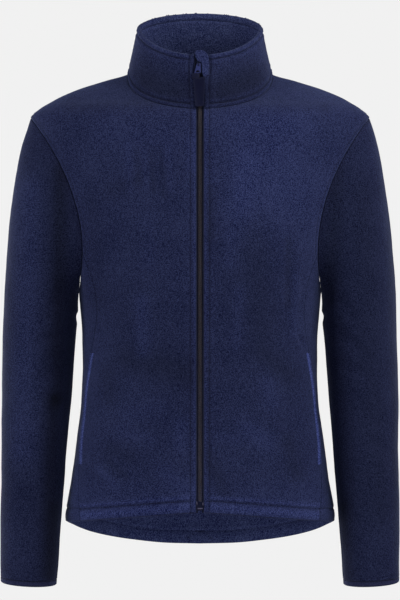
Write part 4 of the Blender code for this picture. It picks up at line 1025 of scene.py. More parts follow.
# ---------------------------------------------------------------------------------------------
# Materials
# ---------------------------------------------------------------------------------------------
class Wire:
    """A shader socket that takes part in Python arithmetic."""

    def __init__(self, finish, socket):
        self.finish = finish
        self.socket = socket

    def math(self, operation, *values, **settings):
        return self.finish.node("Math", {"operation": operation, **settings}, dict(enumerate(values)))

    def __add__(self, other):
        return self.math("ADD", self, other)

    __radd__ = __add__

    def __sub__(self, other):
        return self.math("SUBTRACT", self, other)

    def __rsub__(self, other):
        return self.math("SUBTRACT", other, self)

    def __mul__(self, other):
        return self.math("MULTIPLY", self, other)

    __rmul__ = __mul__

    def clamp(self):
        return self.math("ADD", self, 0.0, use_clamp=True)


class Finish:
    """A material in the making: its nodes and its Principled shader."""

    def __init__(self, name, **constants):
        self.material = bpy.data.materials.new(name)
        self.material.use_nodes = True
        self.tree = self.material.node_tree
        self.shader = self.tree.nodes["Principled BSDF"]
        for key, value in constants.items():
            self.shader.inputs[key.replace("_", " ")].default_value = value

    def node(self, kind, settings=None, inputs=None, out=0):
        made = self.tree.nodes.new(f"ShaderNode{kind}")
        for key, value in (settings or {}).items():
            setattr(made, key, value)
        for key, value in (inputs or {}).items():
            if isinstance(value, Wire):
                self.tree.links.new(value.socket, made.inputs[key])
            else:
                made.inputs[key].default_value = value
        return Wire(self, made.outputs[out])

    def place(self):
        return self.node("TexCoord", out="Object")

    def attribute(self, name):
        return self.node("Attribute", {"attribute_name": name}, out="Fac")

    def noise(self, scale, detail=2.0, roughness=0.5):
        inputs = {"Vector": self.place(), "Scale": scale, "Detail": detail, "Roughness": roughness}
        return self.node("TexNoise", {"noise_dimensions": "3D"}, inputs, out="Fac")

    def mix(self, share, first, second):
        """A colour between two colours."""
        inputs = {0: share, 6: self.paint(first), 7: self.paint(second)}
        return self.node("Mix", {"data_type": "RGBA", "clamp_factor": True}, inputs, out=2)

    @staticmethod
    def paint(value):
        return value if isinstance(value, Wire) else (*value[:3], 1.0)

    def feed(self, name, wire):
        self.tree.links.new(wire.socket, self.shader.inputs[name])

    def bumps(self, height, strength, distance):
        inputs = {"Height": height, "Strength": strength, "Distance": distance}
        self.feed("Normal", self.node("Bump", None, inputs))


def shade(colour_value, factor):
    return tuple(min(channel * factor, 1.0) for channel in colour_value)


# The tufts' tone is random; its greyer light end stands in for the pile's sheen, so it is partly painted
# sheen.
PILE_TINTS = ((0.00, 0.08, 0.40), (2.62, 2.32, 1.68))  # between the tufts, and on them


@functools.cache
def fleece(name, colour_name, lightness=1.0, grain_share=1.0):
    """Brushed knit pile: tufts and patches of random tone, whose greyer light end is partly a painted
    sheen, with painted light and shade from the strokes and painted shade in the seams.
    """
    colours = bpy.context.scene.jacket_colours
    base = shade(getattr(colours, colour_name), lightness)
    grain = bpy.context.scene.jacket_cloth.grain * grain_share
    finish = Finish(
        name, Roughness=0.92, Sheen_Weight=0.18, Sheen_Roughness=0.45, Sheen_Tint=(0.42, 0.52, 1.0, 1.0),
        Specular_IOR_Level=0.18,
    )
    tufts = finish.noise(grain, 1.5, 0.6)
    clumps = finish.noise(grain / 3.2, 2.0, 0.55)
    patches = finish.noise(24.0, 2.0, 0.5)
    broad = finish.noise(8.0, 1.0, 0.5)
    tone = (tufts - 0.5) * 3.5 + (clumps - 0.5) * 0.4 + (patches - 0.5) * 0.35 + (broad - 0.5) * 0.35 + 0.5
    pressed, lifted = (tuple(np.multiply(base, tint)) for tint in PILE_TINTS)
    pile = finish.mix(tone.clamp(), pressed, lifted)
    # Painted light and shade from the strokes, the rows' bands and the edges; the binding's lighter tone
    # too
    lit = finish.attribute("nap") + 1.0
    pile = finish.node("VectorMath", {"operation": "SCALE"}, {0: pile, "Scale": lit})
    # Painted shade: the cloth darkens in the troughs of the seams and rows.
    seam = finish.attribute("seam_line")
    finish.feed("Base Color", finish.mix(seam * 0.75, pile, shade(base, 0.25)))
    finish.bumps(tufts * 0.6 + clumps * 0.9, 0.55, 0.0011)
    return finish.material


def both_sides():
    """The fleece of a panel's outside, and a lighter copy of it for its inside, which is painted light."""
    return fleece("fleece", "fleece"), fleece("fleece_inside", "inside")


@functools.cache
def thread():
    base = bpy.context.scene.jacket_colours.thread
    finish = Finish("sewing_thread", Roughness=0.7, Specular_IOR_Level=0.15)
    twist = finish.noise(2200.0, 1.0)
    finish.feed("Base Color", finish.mix(twist, shade(base, 0.7), shade(base, 1.5)))
    return finish.material


@functools.cache
def woven_tape():
    """Zip tape: a fine twill of ribs across it."""
    base = bpy.context.scene.jacket_colours.tape
    finish = Finish("woven_tape", Roughness=0.85, Specular_IOR_Level=0.12)
    ribs = finish.node(
        "TexWave", {"wave_type": "BANDS", "bands_direction": "Z"},
        {"Vector": finish.place(), "Scale": 420.0, "Distortion": 0.4, "Detail": 1.0}, out="Fac",
    )
    runs = finish.node(
        "TexWave", {"wave_type": "BANDS", "bands_direction": "X"},
        {"Vector": finish.place(), "Scale": 500.0, "Distortion": 0.3}, out="Fac",
    )
    weave = ribs * 0.6 + runs * 0.4
    finish.feed("Base Color", finish.mix(weave, shade(base, 0.5), shade(base, 1.7)))
    finish.bumps(weave, 0.5, 0.0003)
    return finish.material


@functools.cache
def nylon_coil():
    base = bpy.context.scene.jacket_colours.coil
    finish = Finish("nylon_coil", Roughness=0.38, Specular_IOR_Level=0.5)
    wear = finish.noise(160.0, 2.0)
    finish.feed("Base Color", finish.mix(wear, shade(base, 0.6), shade(base, 1.6)))
    finish.feed("Roughness", wear * 0.25 + 0.28)
    return finish.material


@functools.cache
def painted_metal(name, lightness):
    base = shade(bpy.context.scene.jacket_colours.metal, lightness)
    finish = Finish(name, Metallic=0.2, Specular_IOR_Level=0.3)
    grime = finish.noise(700.0, 3.0)
    worn = finish.noise(180.0, 2.0)
    finish.feed("Base Color", finish.mix(grime, shade(base, 0.6), shade(base, 1.8)))
    finish.feed("Roughness", worn * 0.2 + 0.38)
    finish.bumps(grime, 0.15, 0.0002)
    return finish.material


@functools.cache
def moulded_rubber(name, colour_name):
    base = getattr(bpy.context.scene.jacket_colours, colour_name)
    finish = Finish(name, Specular_IOR_Level=0.16)
    matte = finish.noise(1500.0, 2.0)
    dust = finish.noise(260.0, 3.0)
    finish.feed("Base Color", finish.mix(dust, shade(base, 0.75), shade(base, 1.35)))
    finish.feed("Roughness", dust * 0.2 + 0.42)
    finish.bumps(matte, 0.12, 0.0002)
    return finish.material


def studio_floor():
    finish = Finish("studio_floor", Roughness=0.85)
    paper = finish.noise(3.0, 3.0)
    finish.feed("Base Color", finish.mix(paper, (0.78, 0.78, 0.78), (0.82, 0.82, 0.82)))
    return finish.material


# ---------------------------------------------------------------------------------------------
# The zip's and the garage's small sizes, and the studio
# ---------------------------------------------------------------------------------------------
BOX_CATCH = (
    # x, height, width, tall, deep
    (0.0002, -0.5964, 0.0070, 0.0018, 0.0014),
    (-0.0042, -0.5890, 0.0013, 0.0038, 0.0014),
    (0.0040, -0.5902, 0.0013, 0.0036, 0.0014),
)
COIL_WIRE = 0.00052  # half the height of one turn
COIL_LEAN = 0.10
COIL_INSET = 0.0001
COIL_OVERLAP = 0.0004
COIL_BELOW_TOP = 0.0002
COIL_ABOVE_FOOT = 0.0004
TAG_RIM = 0.0017
TAG_RECESS = 0.0004
TAG_MIDDLE_AREA = 0.0002  # square metres: only the tag's two recessed middles are larger
GARAGE_GRAIN = 0.00055

LIGHT_WIDTH = 1.1
LIGHT_HEIGHT = 1.8
LIT_MIDDLE = (0.0, 0.0, -0.33)  # the lights face this point
SENSOR = 36.0
STUDIO_LIGHTS = (
    # name, azimuth, elevation, distance, share of the power
    ("side_light_right", -60.0, 12.0, 3.0, 0.415),
    ("top_light_right", -90.0, 60.0, 3.0, 0.100),
    ("chest_light_left", 60.0, 40.0, 1.4, 0.125),
    ("side_light_left", 60.0, 12.0, 3.0, 0.075),
    ("rim_light_left", 80.0, 12.0, 3.0, 0.110),
    ("low_light", 0.0, -8.0, 3.0, 0.098),
    ("low_light_left", 60.0, -8.0, 3.0, 0.040),
    ("back_light_right", -120.0, -8.0, 3.0, 0.200),
    ("far_light_right", -150.0, -8.0, 3.0, 0.240),
    ("far_light_left", 140.0, 5.0, 3.0, 0.120),
)

# ---------------------------------------------------------------------------------------------
# The panels' grids and borders
# ---------------------------------------------------------------------------------------------
FRONT_COLUMNS = spans((0.008, 4), (0.065, 8), (0.5, 27), (0.957, 28), (0.985, 3), (1.0, 4))
LOWER_ROWS = spans((0.003, 3), (0.06, 12), (0.97, 92), (1.0, 8))
UPPER_ROWS = spans((0.965, 74), (0.995, 5), (1.0, 2))
UNDERARM_COLUMNS = spans((0.02, 4), (0.07, 3), (1.0, 26))
BACK_COLUMNS = spans((0.010, 4), (0.035, 3), (0.5, 33), (1.0, 34))
SLEEVE_TURNS = spans((0.4833, 58), (0.5167, 12), (1.0, 58)) * 360.0
SLEEVE_RINGS = spans((0.004, 3), (0.016, 6), (0.985, 158), (0.997, 5), (1.0, 3)) * SLEEVE_END
BINDING_RINGS = SLEEVE_END + spans((0.15, 3), (0.80, 5), (1.0, 4)) * (BINDING_END - SLEEVE_END)
COLLAR_STEPS = spans((0.004, 3), (0.04, 11), (0.96, 330), (0.996, 11), (1.0, 3))
COLLAR_TURNS = COLLAR_END_TURN + COLLAR_STEPS * (360.0 - 2 * COLLAR_END_TURN)
COLLAR_RISES = spans((0.012, 3), (0.12, 8), (0.84, 32), (0.985, 12), (1.0, 4))
WELT_COLUMNS = spans((0.06, 2), (0.94, 14), (1.0, 2))
WELT_ROWS = spans((0.006, 2), (0.994, 88), (1.0, 2))


@functools.cache
def cloth_panels():
    """Every panel with its borders, before the wall is given."""
    cloth = bpy.context.scene.jacket_cloth
    panels = {}
    grid = front_places(FRONT_COLUMNS, LOWER_ROWS, UPPER_ROWS)
    yoke = len(LOWER_ROWS) - 1
    neck_column = int(np.argmin(np.abs(FRONT_COLUMNS - FRONT_SHOULDER[0][0])))
    lower, upper = back_places(UNDERARM_COLUMNS, BACK_COLUMNS, LOWER_ROWS, UPPER_ROWS)
    under = len(UNDERARM_COLUMNS) - 1
    neck_point = int(np.argmin(np.abs(BACK_COLUMNS - BACK_NECK_TURNS[0][0])))
    back_patches = []
    back_borders = {}
    for side, word in SIDES:
        full = body_point(side * grid[..., 0], grid[..., 1])
        borders = {
            "zip": full[:, 0],
            "hem": full[0],
            "side": full[: yoke + 1, -1],
            "arm": full[yoke:, -1],
            "neck": full[-1, : neck_column + 1],
            "shoulder": full[-1, neck_column:],
        }
        panels[f"front_{word}"] = Panel(f"front_{word}", [points_of(grid, side)], borders, cloth.cloth)
        low = body_point(side * lower[..., 0], lower[..., 1])
        high = body_point(side * upper[..., 0], upper[..., 1])
        back_patches += [points_of(lower, side), points_of(upper, side)]
        back_borders |= {
            f"side_{word}": low[:, 0],
            f"hem_{word}": low[0],
            f"under_{word}": low[-1, : under + 1],
            f"arm_{word}": high[:, 0],
            f"shoulder_{word}": high[-1, : neck_point + 1],
            f"neck_{word}": high[-1, neck_point:],
        }
        patch = sleeve_points(SLEEVE_RINGS, SLEEVE_TURNS, side)
        borders = {"arm": patch[0], "cuff": patch[-1]}
        panels[f"sleeve_{word}"] = Panel(f"sleeve_{word}", [patch], borders, cloth.cloth)
        name = f"cuff_binding_{word}"
        patch = sleeve_points(BINDING_RINGS, SLEEVE_TURNS, side)
        panels[name] = Panel(name, [patch], {"cuff": patch[0], "end": patch[-1]}, cloth.binding_cloth)
    panels["back"] = Panel("back", back_patches, back_borders, cloth.cloth)
    turn, rise = np.meshgrid(np.where(COLLAR_TURNS > 180, COLLAR_TURNS - 360, COLLAR_TURNS), COLLAR_RISES)
    patch = collar_point(turn, rise)
    borders = {"foot": patch[0], "top": patch[-1], "left_end": patch[:, 0], "right_end": patch[:, -1]}
    panels["collar"] = Panel("collar", [patch], borders, cloth.collar_cloth)
    return panels


SEWN_TO = {
    "front_left": ("back", "sleeve_left", "collar"),
    "front_right": ("back", "sleeve_right", "collar"),
    "back": ("front_left", "front_right", "sleeve_left", "sleeve_right", "collar"),
    "sleeve_left": ("front_left", "back", "cuff_binding_left"),
    "sleeve_right": ("front_right", "back", "cuff_binding_right"),
    "cuff_binding_left": ("sleeve_left",),
    "cuff_binding_right": ("sleeve_right",),
    "collar": ("front_left", "front_right", "back"),
}
finished_panels = {}


def finish_panel(name, slot, finish, inside):
    """Sews a panel to its neighbours and puts it in the scene, with a finish for each face."""
    panels = cloth_panels()
    panel = panels[name]
    panel.sew([panels[other] for other in SEWN_TO[name]])
    finished_panels[name] = panel.surface()
    made = place_piece(f"{name}_cloth", panel.mesh(), PIECES_ON_JACKET, finish, [name])
    made.data.materials.append(inside)
    made.data.polygons.foreach_set("material_index", panel.inside)


# ---------------------------------------------------------------------------------------------
# The pieces
# ---------------------------------------------------------------------------------------------
class PieceOperator:
    """What the operators of the jacket's pieces share."""

    bl_options = {"REGISTER", "UNDO"}


class JACKET_OT_fronts(PieceOperator, bpy.types.Operator):
    """Cut and sew the two fronts, with their topstitched zip edges and hems"""

    bl_idname = "jacket.fronts"
    bl_label = "Fronts"

    def execute(self, context):
        cloth = context.scene.jacket_cloth
        edge_at, edge_reach, edge_light = ZIP_EDGE_LIGHT
        low_start, low_full, low_light = LOW_FRONT_LIGHT
        for side, word in SIDES:
            panel = cloth_panels()[f"front_{word}"]
            past_zip = ramp(panel.apart["zip"], *ROWS_PAST_ZIP)
            panel.topstitch("zip", cloth.zip_stitch, keep=0.65, painted_light_amount=0.10)
            panel.topstitch("hem", cloth.hem_front, keep=past_zip, deep=1.4, painted_light_amount=0.74)
            panel.topstitch("arm", cloth.arm_stitch, keep=ARM_ROW)
            panel.inner_seam(np.array(POCKET_HEAD) * (side, 1, 1), depth=0.0007, reach=0.0018)
            # Painted light beside the zip's edge and over the lower front.
            panel.nap += edge_light * bump(panel.apart["zip"] - edge_at, edge_reach)
            panel.nap += low_light * low_part(panel.points, low_start, low_full)
            finish_panel(f"front_{word}", "fleece", *both_sides())
        return {"FINISHED"}


class JACKET_OT_back(PieceOperator, bpy.types.Operator):
    """Cut and sew the back, which wraps round to the forward side seams"""

    bl_idname = "jacket.back"
    bl_label = "Back"

    def execute(self, context):
        cloth = context.scene.jacket_cloth
        panel = cloth_panels()["back"]
        for _, word in SIDES:
            panel.topstitch(f"hem_{word}", cloth.hem_back)
            panel.topstitch(f"arm_{word}", cloth.arm_stitch, keep=ARM_ROW)
        # Painted light on the inside of the back's low part, seen below the front hem.
        start, full, light = LOW_INSIDE_LIGHT
        panel.inside_painted_light += light * low_part(panel.points, start, full)
        finish_panel("back", "fleece_inner", *both_sides())
        return {"FINISHED"}


class JACKET_OT_sleeves(PieceOperator, bpy.types.Operator):
    """Set in the two sleeves and bind their cuffs"""

    bl_idname = "jacket.sleeves"
    bl_label = "Sleeves"

    def execute(self, context):
        # Painted shade: the sleeves' outside is a darker copy of the fleece.
        outside = fleece("sleeve_fleece", "fleece", 0.74)
        binding = fleece("cuff_binding", "binding", 0.85, 2.2)
        for side, word in SIDES:
            under = sleeve_points(SLEEVE_RINGS, np.array([180.0, 180.5]), side)[:, 0 if side > 0 else -1]
            cloth_panels()[f"sleeve_{word}"].inner_seam(under)
            finish_panel(f"sleeve_{word}", "fleece", outside, both_sides()[1])
            band = cloth_panels()[f"cuff_binding_{word}"]
            # Painted shade in a dark line where the binding meets the sleeve; the whole band is made
            # lighter.
            band.lines = np.maximum(band.lines, bump(band.apart["cuff"], CUFF_LINE))
            band.nap += CUFF_LIGHT
            finish_panel(f"cuff_binding_{word}", "binding", binding, binding)
        return {"FINISHED"}


def garage_side(points, distance):
    """The topstitch's distance from the collar's end, which swings out round the garage."""
    return distance + GARAGE_SWING * bump(points[..., 2] - GARAGE_MIDDLE_HEIGHT, GARAGE_SWING_REACH)


def collar_edge(points, distance):
    """The topstitch's distance from the collar's edge, which grows towards the back."""
    start, full, more = COLLAR_BACK_ROW
    return distance * (1 + more * ramp(points[..., 1], start, full))


class JACKET_OT_collar(PieceOperator, bpy.types.Operator):
    """Set on the stand collar, topstitched below its edge"""

    bl_idname = "jacket.collar"
    bl_label = "Collar"

    def execute(self, context):
        cloth = context.scene.jacket_cloth
        panel = cloth_panels()["collar"]
        doubled = ramp(panel.apart["foot"], 0.0, COLLAR_DOUBLED)
        panel.thickness = blend(cloth.cloth, cloth.collar_cloth, doubled)
        panel.topstitch("left_end", garage_side(panel.points, cloth.zip_stitch))
        panel.topstitch("right_end", cloth.zip_stitch)
        past_zip = ramp(np.minimum(panel.apart["left_end"], panel.apart["right_end"]), *ROWS_PAST_ZIP)
        edge_row = collar_edge(panel.points, cloth.edge_stitch)
        panel.topstitch("top", edge_row, keep=past_zip, deep=1.2, painted_light_amount=0.22)
        panel.topstitch("foot", cloth.foot_stitch, keep=past_zip, deep=1.2, painted_light_amount=0.20)
        top = panel.apart["top"]
        fuzz = np.array([noise.noise(Vector(point * COLLAR_FUZZ)) for point in panel.points])
        (puff, puff_reach), (rise, rise_reach) = COLLAR_FUZZ_FACE
        panel.puff += puff * fuzz * bump(top, puff_reach)
        panel.rise += rise * fuzz * bump(top, rise_reach)
        panel.overlap += COLLAR_FUZZ_EDGE * np.clip(fuzz, 0.0, None) * (top < ON_BORDER)
        # Painted highlight along the collar's top edge.
        panel.nap += COLLAR_EDGE_LIGHT * bump(top, 2 * SEAM_LINE)
        finish_panel("collar", "fleece", *both_sides())
        return {"FINISHED"}


class JACKET_OT_welts(PieceOperator, bpy.types.Operator):
    """Lay the pocket welts over the side seams, with a row of stitching down each"""

    bl_idname = "jacket.welts"
    bl_label = "Pocket welts"

    def execute(self, context):
        # Painted light: the welts are a lighter copy of the fleece.
        finish = fleece("welt_fleece", "fleece", 1.7)
        work = bmesh.new()
        heights = blend(WELT_BOTTOM, WELT_TOP, WELT_ROWS)
        edge_at, edge_reach, edge_light = WELT_EDGE_LIGHT
        for side, word in SIDES:
            height, share = np.meshgrid(heights, WELT_COLUMNS, indexing="ij")
            column = blend(WELT_COLUMN, 1.0, share)
            turn = blend(edge_turn(height), seam_turn(height), column)
            patch = body_point(side * turn, height)
            line = patch[:, int(len(WELT_COLUMNS) * WELT_ROW)]
            if side < 0:
                patch = patch[:, ::-1]
            borders = {"round": np.concatenate([patch[0], patch[:, -1], patch[-1, ::-1], patch[::-1, 0]])}
            panel = Panel(f"pocket_welt_{word}", [patch], borders, WELT_CLOTH)
            panel.rise += WELT_RISE
            inner_side = distance_to(patch[:, 0 if side > 0 else -1], panel.points)
            # Painted light over the welt, more on the wearer's left, and a painted highlight along its
            # inner edge.
            panel.nap += WELT_LIGHT[word] + edge_light * bump(inner_side - edge_at, edge_reach)
            panel.inner_seam(line, depth=0.0010, reach=0.0013)
            panel.sew([panel], rounding=0.0012)
            surface = panel.surface()
            rows = [(line, WELT_STITCHES), *[(patch[end], WELT_TACKS) for end in WELT_ENDS]]
            for row, (pitch, length, thick) in rows:
                sew_stitches(work, stitch_line(surface, row, 0.0, pitch), length, thick)
            mesh = panel.mesh()
            name = f"pocket_welt_{word}"
            made = place_piece(f"{name}_cloth", mesh, PIECES_ON_JACKET, finish, [name])
        place_piece("welt_stitching", mesh_of("welt_stitching", work), PIECES_ON_JACKET, thread())
        return {"FINISHED"}


class JACKET_OT_topstitching(PieceOperator, bpy.types.Operator):
    """Run the rows of topstitching"""

    bl_idname = "jacket.topstitching"
    bl_label = "Topstitching"

    def execute(self, context):
        cloth = context.scene.jacket_cloth
        panels = cloth_panels()
        rows = []
        for _, word in SIDES:
            front = panels[f"front_{word}"].borders
            rows += [
                (f"front_{word}", front["zip"], cloth.zip_stitch),
                (f"front_{word}", front["hem"], cloth.hem_front),
                (f"front_{word}", front["arm"], cloth.arm_stitch),
                ("back", panels["back"].borders[f"hem_{word}"], cloth.hem_back),
                ("back", panels["back"].borders[f"arm_{word}"], cloth.arm_stitch),
            ]
        collar = panels["collar"].borders
        rows += [
            ("collar", collar["left_end"], lambda line: garage_side(line, cloth.zip_stitch)),
            ("collar", collar["right_end"], cloth.zip_stitch),
            ("collar", collar["top"], lambda line: collar_edge(line, cloth.edge_stitch)),
            ("collar", collar["foot"], cloth.foot_stitch),
        ]
        work = bmesh.new()
        for name, line, distance in rows:
            places = stitch_line(finished_panels[name], line, distance, cloth.stitch_pitch)
            sew_stitches(work, places, cloth.stitch_pitch * 0.76, cloth.thread)
        mesh = mesh_of("topstitching", work)
        place_piece("topstitching", mesh, PIECES_ON_JACKET, thread())
        return {"FINISHED"}


class JACKET_OT_zip(PieceOperator, bpy.types.Operator):
    """Close the zip: its coil, its box, its slider, and the woven tapes' finish"""

    bl_idname = "jacket.zip"
    bl_label = "Zip"

    def execute(self, context):
        sizes = context.scene.jacket_zip
        low, high = (corner[2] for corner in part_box("zip_chain"))
        work = bmesh.new()
        for height in np.arange(low + COIL_ABOVE_FOOT, high - COIL_BELOW_TOP, sizes.pitch):
            for side, _ in SIDES:
                at, out = zip_at(height + (0.0 if side > 0 else sizes.pitch / 2))
                across = Vector((side, 0.0, 0.0))
                out = Vector(out)
                up = out.cross(Vector((1.0, 0.0, 0.0)))
                place = Vector(at) - out * (sizes.chain_depth + sizes.coil_height / 2)
                place += across * (sizes.half_width / 2 - COIL_INSET)
                axis = (across + up * COIL_LEAN * side).normalized()
                turned = Matrix((up * COIL_WIRE, out * sizes.coil_height / 2, axis)).transposed().to_4x4()
                bar = Matrix.Translation(place) @ turned
                bmesh.ops.create_cone(
                    work, cap_ends=True, segments=8, radius1=0.82, radius2=1.0,
                    depth=sizes.half_width + COIL_OVERLAP, matrix=bar,
                )
        chain = mesh_of("zip_coil", work)
        place_piece("zip_coil", chain, PIECES_ON_JACKET, nylon_coil(), ["zip_chain"])
        # Painted highlight: the catch's pale colour stands for glints on the box's bar and pins.
        catch = moulded_rubber("box_catch", "catch")
        place_piece("zip_box_catch", box_catch(sizes), PIECES_ON_JACKET, catch)
        for node, finish, slot in (
            ("zip_box", moulded_rubber("moulded_box", "rubber"), "zip_rubber"),
            # Painted shade: the slider is a darker copy of the bail's paint, so that its edges show no
            # glint.
            ("zip_slider", painted_metal("slider_metal", 0.3), "zip_metal"),
        ):
            mesh = mesh_of(node, merged_copy(node))
            made = place_piece(f"{node}_shaped", mesh, PIECES_ON_JACKET, finish, [node])
            round_edges(made, sizes.bevel)
        for node in ("zip_tape_left", "zip_tape_right"):
            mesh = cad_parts[node].data
            mesh.materials.clear()
            mesh.materials.append(woven_tape())
        return {"FINISHED"}


def box_catch(sizes):
    """The bar across the foot of the box, and the two pins' collars above it."""
    work = bmesh.new()
    for x, height, width, tall, deep in BOX_CATCH:
        at, out = zip_at(height)
        up = Vector(out).cross(Vector((1.0, 0.0, 0.0)))
        made = bmesh.ops.create_cube(work, size=1.0)
        turned = Matrix(((width, 0.0, 0.0), up * tall, Vector(out) * deep)).transposed().to_4x4()
        place = Matrix.Translation(Vector(at) + Vector((x, 0.0, 0.0))) @ turned
        bmesh.ops.transform(work, matrix=place, verts=made["verts"])
        edges = list({edge for vertex in made["verts"] for edge in vertex.link_edges})
        bmesh.ops.bevel(
            work, geom=edges, offset=sizes.bevel, offset_type="OFFSET", segments=2, profile=0.5,
            affect="EDGES", material=-1,
        )
    return mesh_of("zip_box_catch", work)


def round_edges(made, width):
    step = made.modifiers.new("rounded_edges", "BEVEL")
    step.width = width
    step.segments = 2
    step.limit_method = "ANGLE"
    step.angle_limit = math.radians(32.0)


class JACKET_OT_pull(PieceOperator, bpy.types.Operator):
    """Hang the pull: its metal bail and its bare moulded tag"""

    bl_idname = "jacket.pull"
    bl_label = "Zip pull"

    def execute(self, context):
        sizes = context.scene.jacket_zip
        bail = place_piece(
            "zip_pull_bail_shaped", mesh_of("zip_pull_bail", merged_copy("zip_pull_bail")),
            PIECES_ON_PULL, painted_metal("bail_metal", 1.0), ["zip_pull_bail"],
        )
        round_edges(bail, sizes.bevel)
        work = merged_copy("zip_pull_tag")
        work.faces.ensure_lookup_table()
        widest = sorted(work.faces, key=lambda face: -face.calc_area())[:2]
        bmesh.ops.inset_region(work, faces=widest, thickness=TAG_RIM, depth=0.0, use_even_offset=True)
        for face in widest:
            middle = face.calc_center_median()
            normal = face.normal.copy()
            for vertex in face.verts:
                vertex.co -= normal * ((vertex.co - middle).dot(normal) + TAG_RECESS)
        tag = place_piece(
            "zip_pull_tag_shaped", mesh_of("zip_pull_tag", work), PIECES_ON_PULL,
            moulded_rubber("tag_rim", "rubber_rim"), ["zip_pull_tag"],
        )
        tag.data.materials.append(moulded_rubber("tag_middle", "rubber"))
        for face in tag.data.polygons:
            if face.area > TAG_MIDDLE_AREA:
                face.material_index = 1
        round_edges(tag, sizes.bevel)
        return {"FINISHED"}


class JACKET_OT_garage(PieceOperator, bpy.types.Operator):
    """Lay the garage over the top of the zip: the imported piece, remeshed and smoothed"""

    bl_idname = "jacket.garage"
    bl_label = "Zip garage"

    def execute(self, context):
        mesh = mesh_of("zip_garage", merged_copy("zip_garage"))
        # Painted light: the garage is a lighter copy of the fleece.
        finish = fleece("garage_fleece", "fleece", 1.35)
        made = place_piece("zip_garage_cloth", mesh, PIECES_ON_JACKET, finish, ["zip_garage"])
        for kind, settings in (
            ("REMESH", {"mode": "VOXEL", "voxel_size": GARAGE_GRAIN, "use_smooth_shade": True}),
            ("SMOOTH", {"factor": 0.5, "iterations": 6}),
        ):
            step = made.modifiers.new(kind.lower(), kind)
            for key, value in settings.items():
                setattr(step, key, value)
        bake_modifiers(made)
        return {"FINISHED"}


def bake_modifiers(made):
    """Turns a piece's modifiers into its mesh."""
    seen = made.evaluated_get(bpy.context.evaluated_depsgraph_get())
    mesh = bpy.data.meshes.new_from_object(seen)
    made.modifiers.clear()
    made.data = mesh
    for face in mesh.polygons:
        face.use_smooth = True


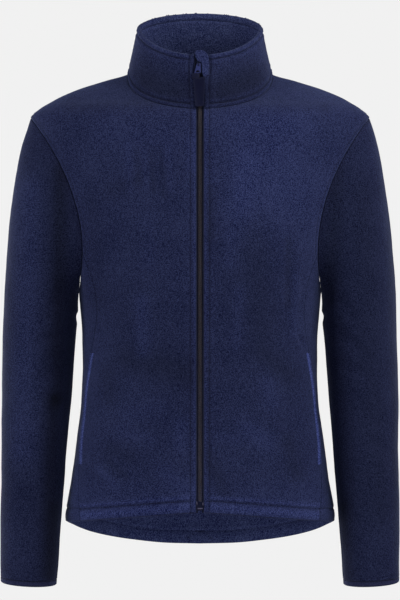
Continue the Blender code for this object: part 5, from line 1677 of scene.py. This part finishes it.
class JACKET_OT_stage(PieceOperator, bpy.types.Operator):
    """Set the camera, the soft lights, the pale surround and the floor"""

    bl_idname = "jacket.stage"
    bl_label = "Studio"

    def execute(self, context):
        scene = context.scene
        sizes = scene.jacket_stage
        lens = bpy.data.cameras.new("camera")
        lens.sensor_width = SENSOR
        lens.sensor_fit = "AUTO"
        lens.lens = SENSOR * sizes.camera_distance / sizes.view_height
        lens.clip_end = 60.0
        camera = bpy.data.objects.new("camera", lens)
        camera.location = (0.0, -sizes.camera_distance, sizes.camera_height)
        camera.rotation_euler = (math.radians(90.0), 0.0, 0.0)
        scene.collection.objects.link(camera)
        scene.camera = camera
        middle = Vector(LIT_MIDDLE)
        for name, azimuth, elevation, distance, share in STUDIO_LIGHTS:
            made = bpy.data.lights.new(name, "AREA")
            made.shape = "RECTANGLE"
            made.size = LIGHT_WIDTH
            made.size_y = LIGHT_HEIGHT
            made.energy = sizes.power * share
            light = bpy.data.objects.new(name, made)
            across = math.radians(azimuth)
            up = math.radians(elevation)
            level = Vector((math.sin(across), -math.cos(across), 0.0))
            towards = level * math.cos(up) + Vector((0.0, 0.0, math.sin(up)))
            light.location = middle + towards * distance
            light.rotation_euler = (-towards).to_track_quat("-Z", "Y").to_euler()
            light.visible_camera = False
            scene.collection.objects.link(light)
        world = bpy.data.worlds.new("pale_surround")
        scene.world = world
        world.use_nodes = True
        tree = world.node_tree
        seen = tree.nodes["Background"]
        seen.inputs["Color"].default_value = (*[sizes.backdrop] * 3, 1.0)
        ambient = tree.nodes.new("ShaderNodeBackground")
        ambient.inputs["Strength"].default_value = sizes.ambient
        path = tree.nodes.new("ShaderNodeLightPath")
        choice = tree.nodes.new("ShaderNodeMixShader")
        tree.links.new(path.outputs["Is Camera Ray"], choice.inputs[0])
        tree.links.new(ambient.outputs[0], choice.inputs[1])
        tree.links.new(seen.outputs[0], choice.inputs[2])
        tree.links.new(choice.outputs[0], tree.nodes["World Output"].inputs["Surface"])
        work = bmesh.new()
        centre = Matrix.Translation((0.0, 0.0, sizes.floor_height))
        bmesh.ops.create_circle(work, cap_ends=True, segments=96, radius=sizes.floor_radius, matrix=centre)
        floor = bpy.data.objects.new("floor", mesh_of("floor", work))
        floor.data.materials.append(studio_floor())
        scene.collection.objects.link(floor)
        scene.view_settings.view_transform = "Standard"
        return {"FINISHED"}


# ---------------------------------------------------------------------------------------------
# The add-on
# ---------------------------------------------------------------------------------------------
OPERATORS = (
    JACKET_OT_stage,
    JACKET_OT_fronts,
    JACKET_OT_back,
    JACKET_OT_sleeves,
    JACKET_OT_collar,
    JACKET_OT_welts,
    JACKET_OT_topstitching,
    JACKET_OT_zip,
    JACKET_OT_pull,
    JACKET_OT_garage,
)
SETTINGS = {
    "jacket_cloth": JacketCloth,
    "jacket_zip": JacketZip,
    "jacket_colours": JacketColours,
    "jacket_stage": JacketStage,
}


class JACKET_PT_pieces(bpy.types.Panel):
    """Lists the jacket's pieces and the sizes and colours that they use"""

    bl_idname = "JACKET_PT_pieces"
    bl_label = "Fleece zip jacket"
    bl_space_type = "VIEW_3D"
    bl_region_type = "UI"
    bl_category = "Jacket"

    def draw(self, context):
        for operator in OPERATORS:
            self.layout.operator(operator.bl_idname)
        for name, group in SETTINGS.items():
            column = self.layout.column(align=True)
            for key in group.__annotations__:
                column.prop(getattr(context.scene, name), key)


def register():
    for made in (*SETTINGS.values(), *OPERATORS, JACKET_PT_pieces):
        bpy.utils.register_class(made)
    for name, group in SETTINGS.items():
        setattr(bpy.types.Scene, name, PointerProperty(type=group))


def unregister():
    for name in SETTINGS:
        delattr(bpy.types.Scene, name)
    for made in (JACKET_PT_pieces, *OPERATORS, *SETTINGS.values()):
        bpy.utils.unregister_class(made)


def main():
    register()
    for operator in OPERATORS:
        getattr(bpy.ops.jacket, operator.bl_idname.split(".")[1])()


if __name__ == "__main__":
    main()
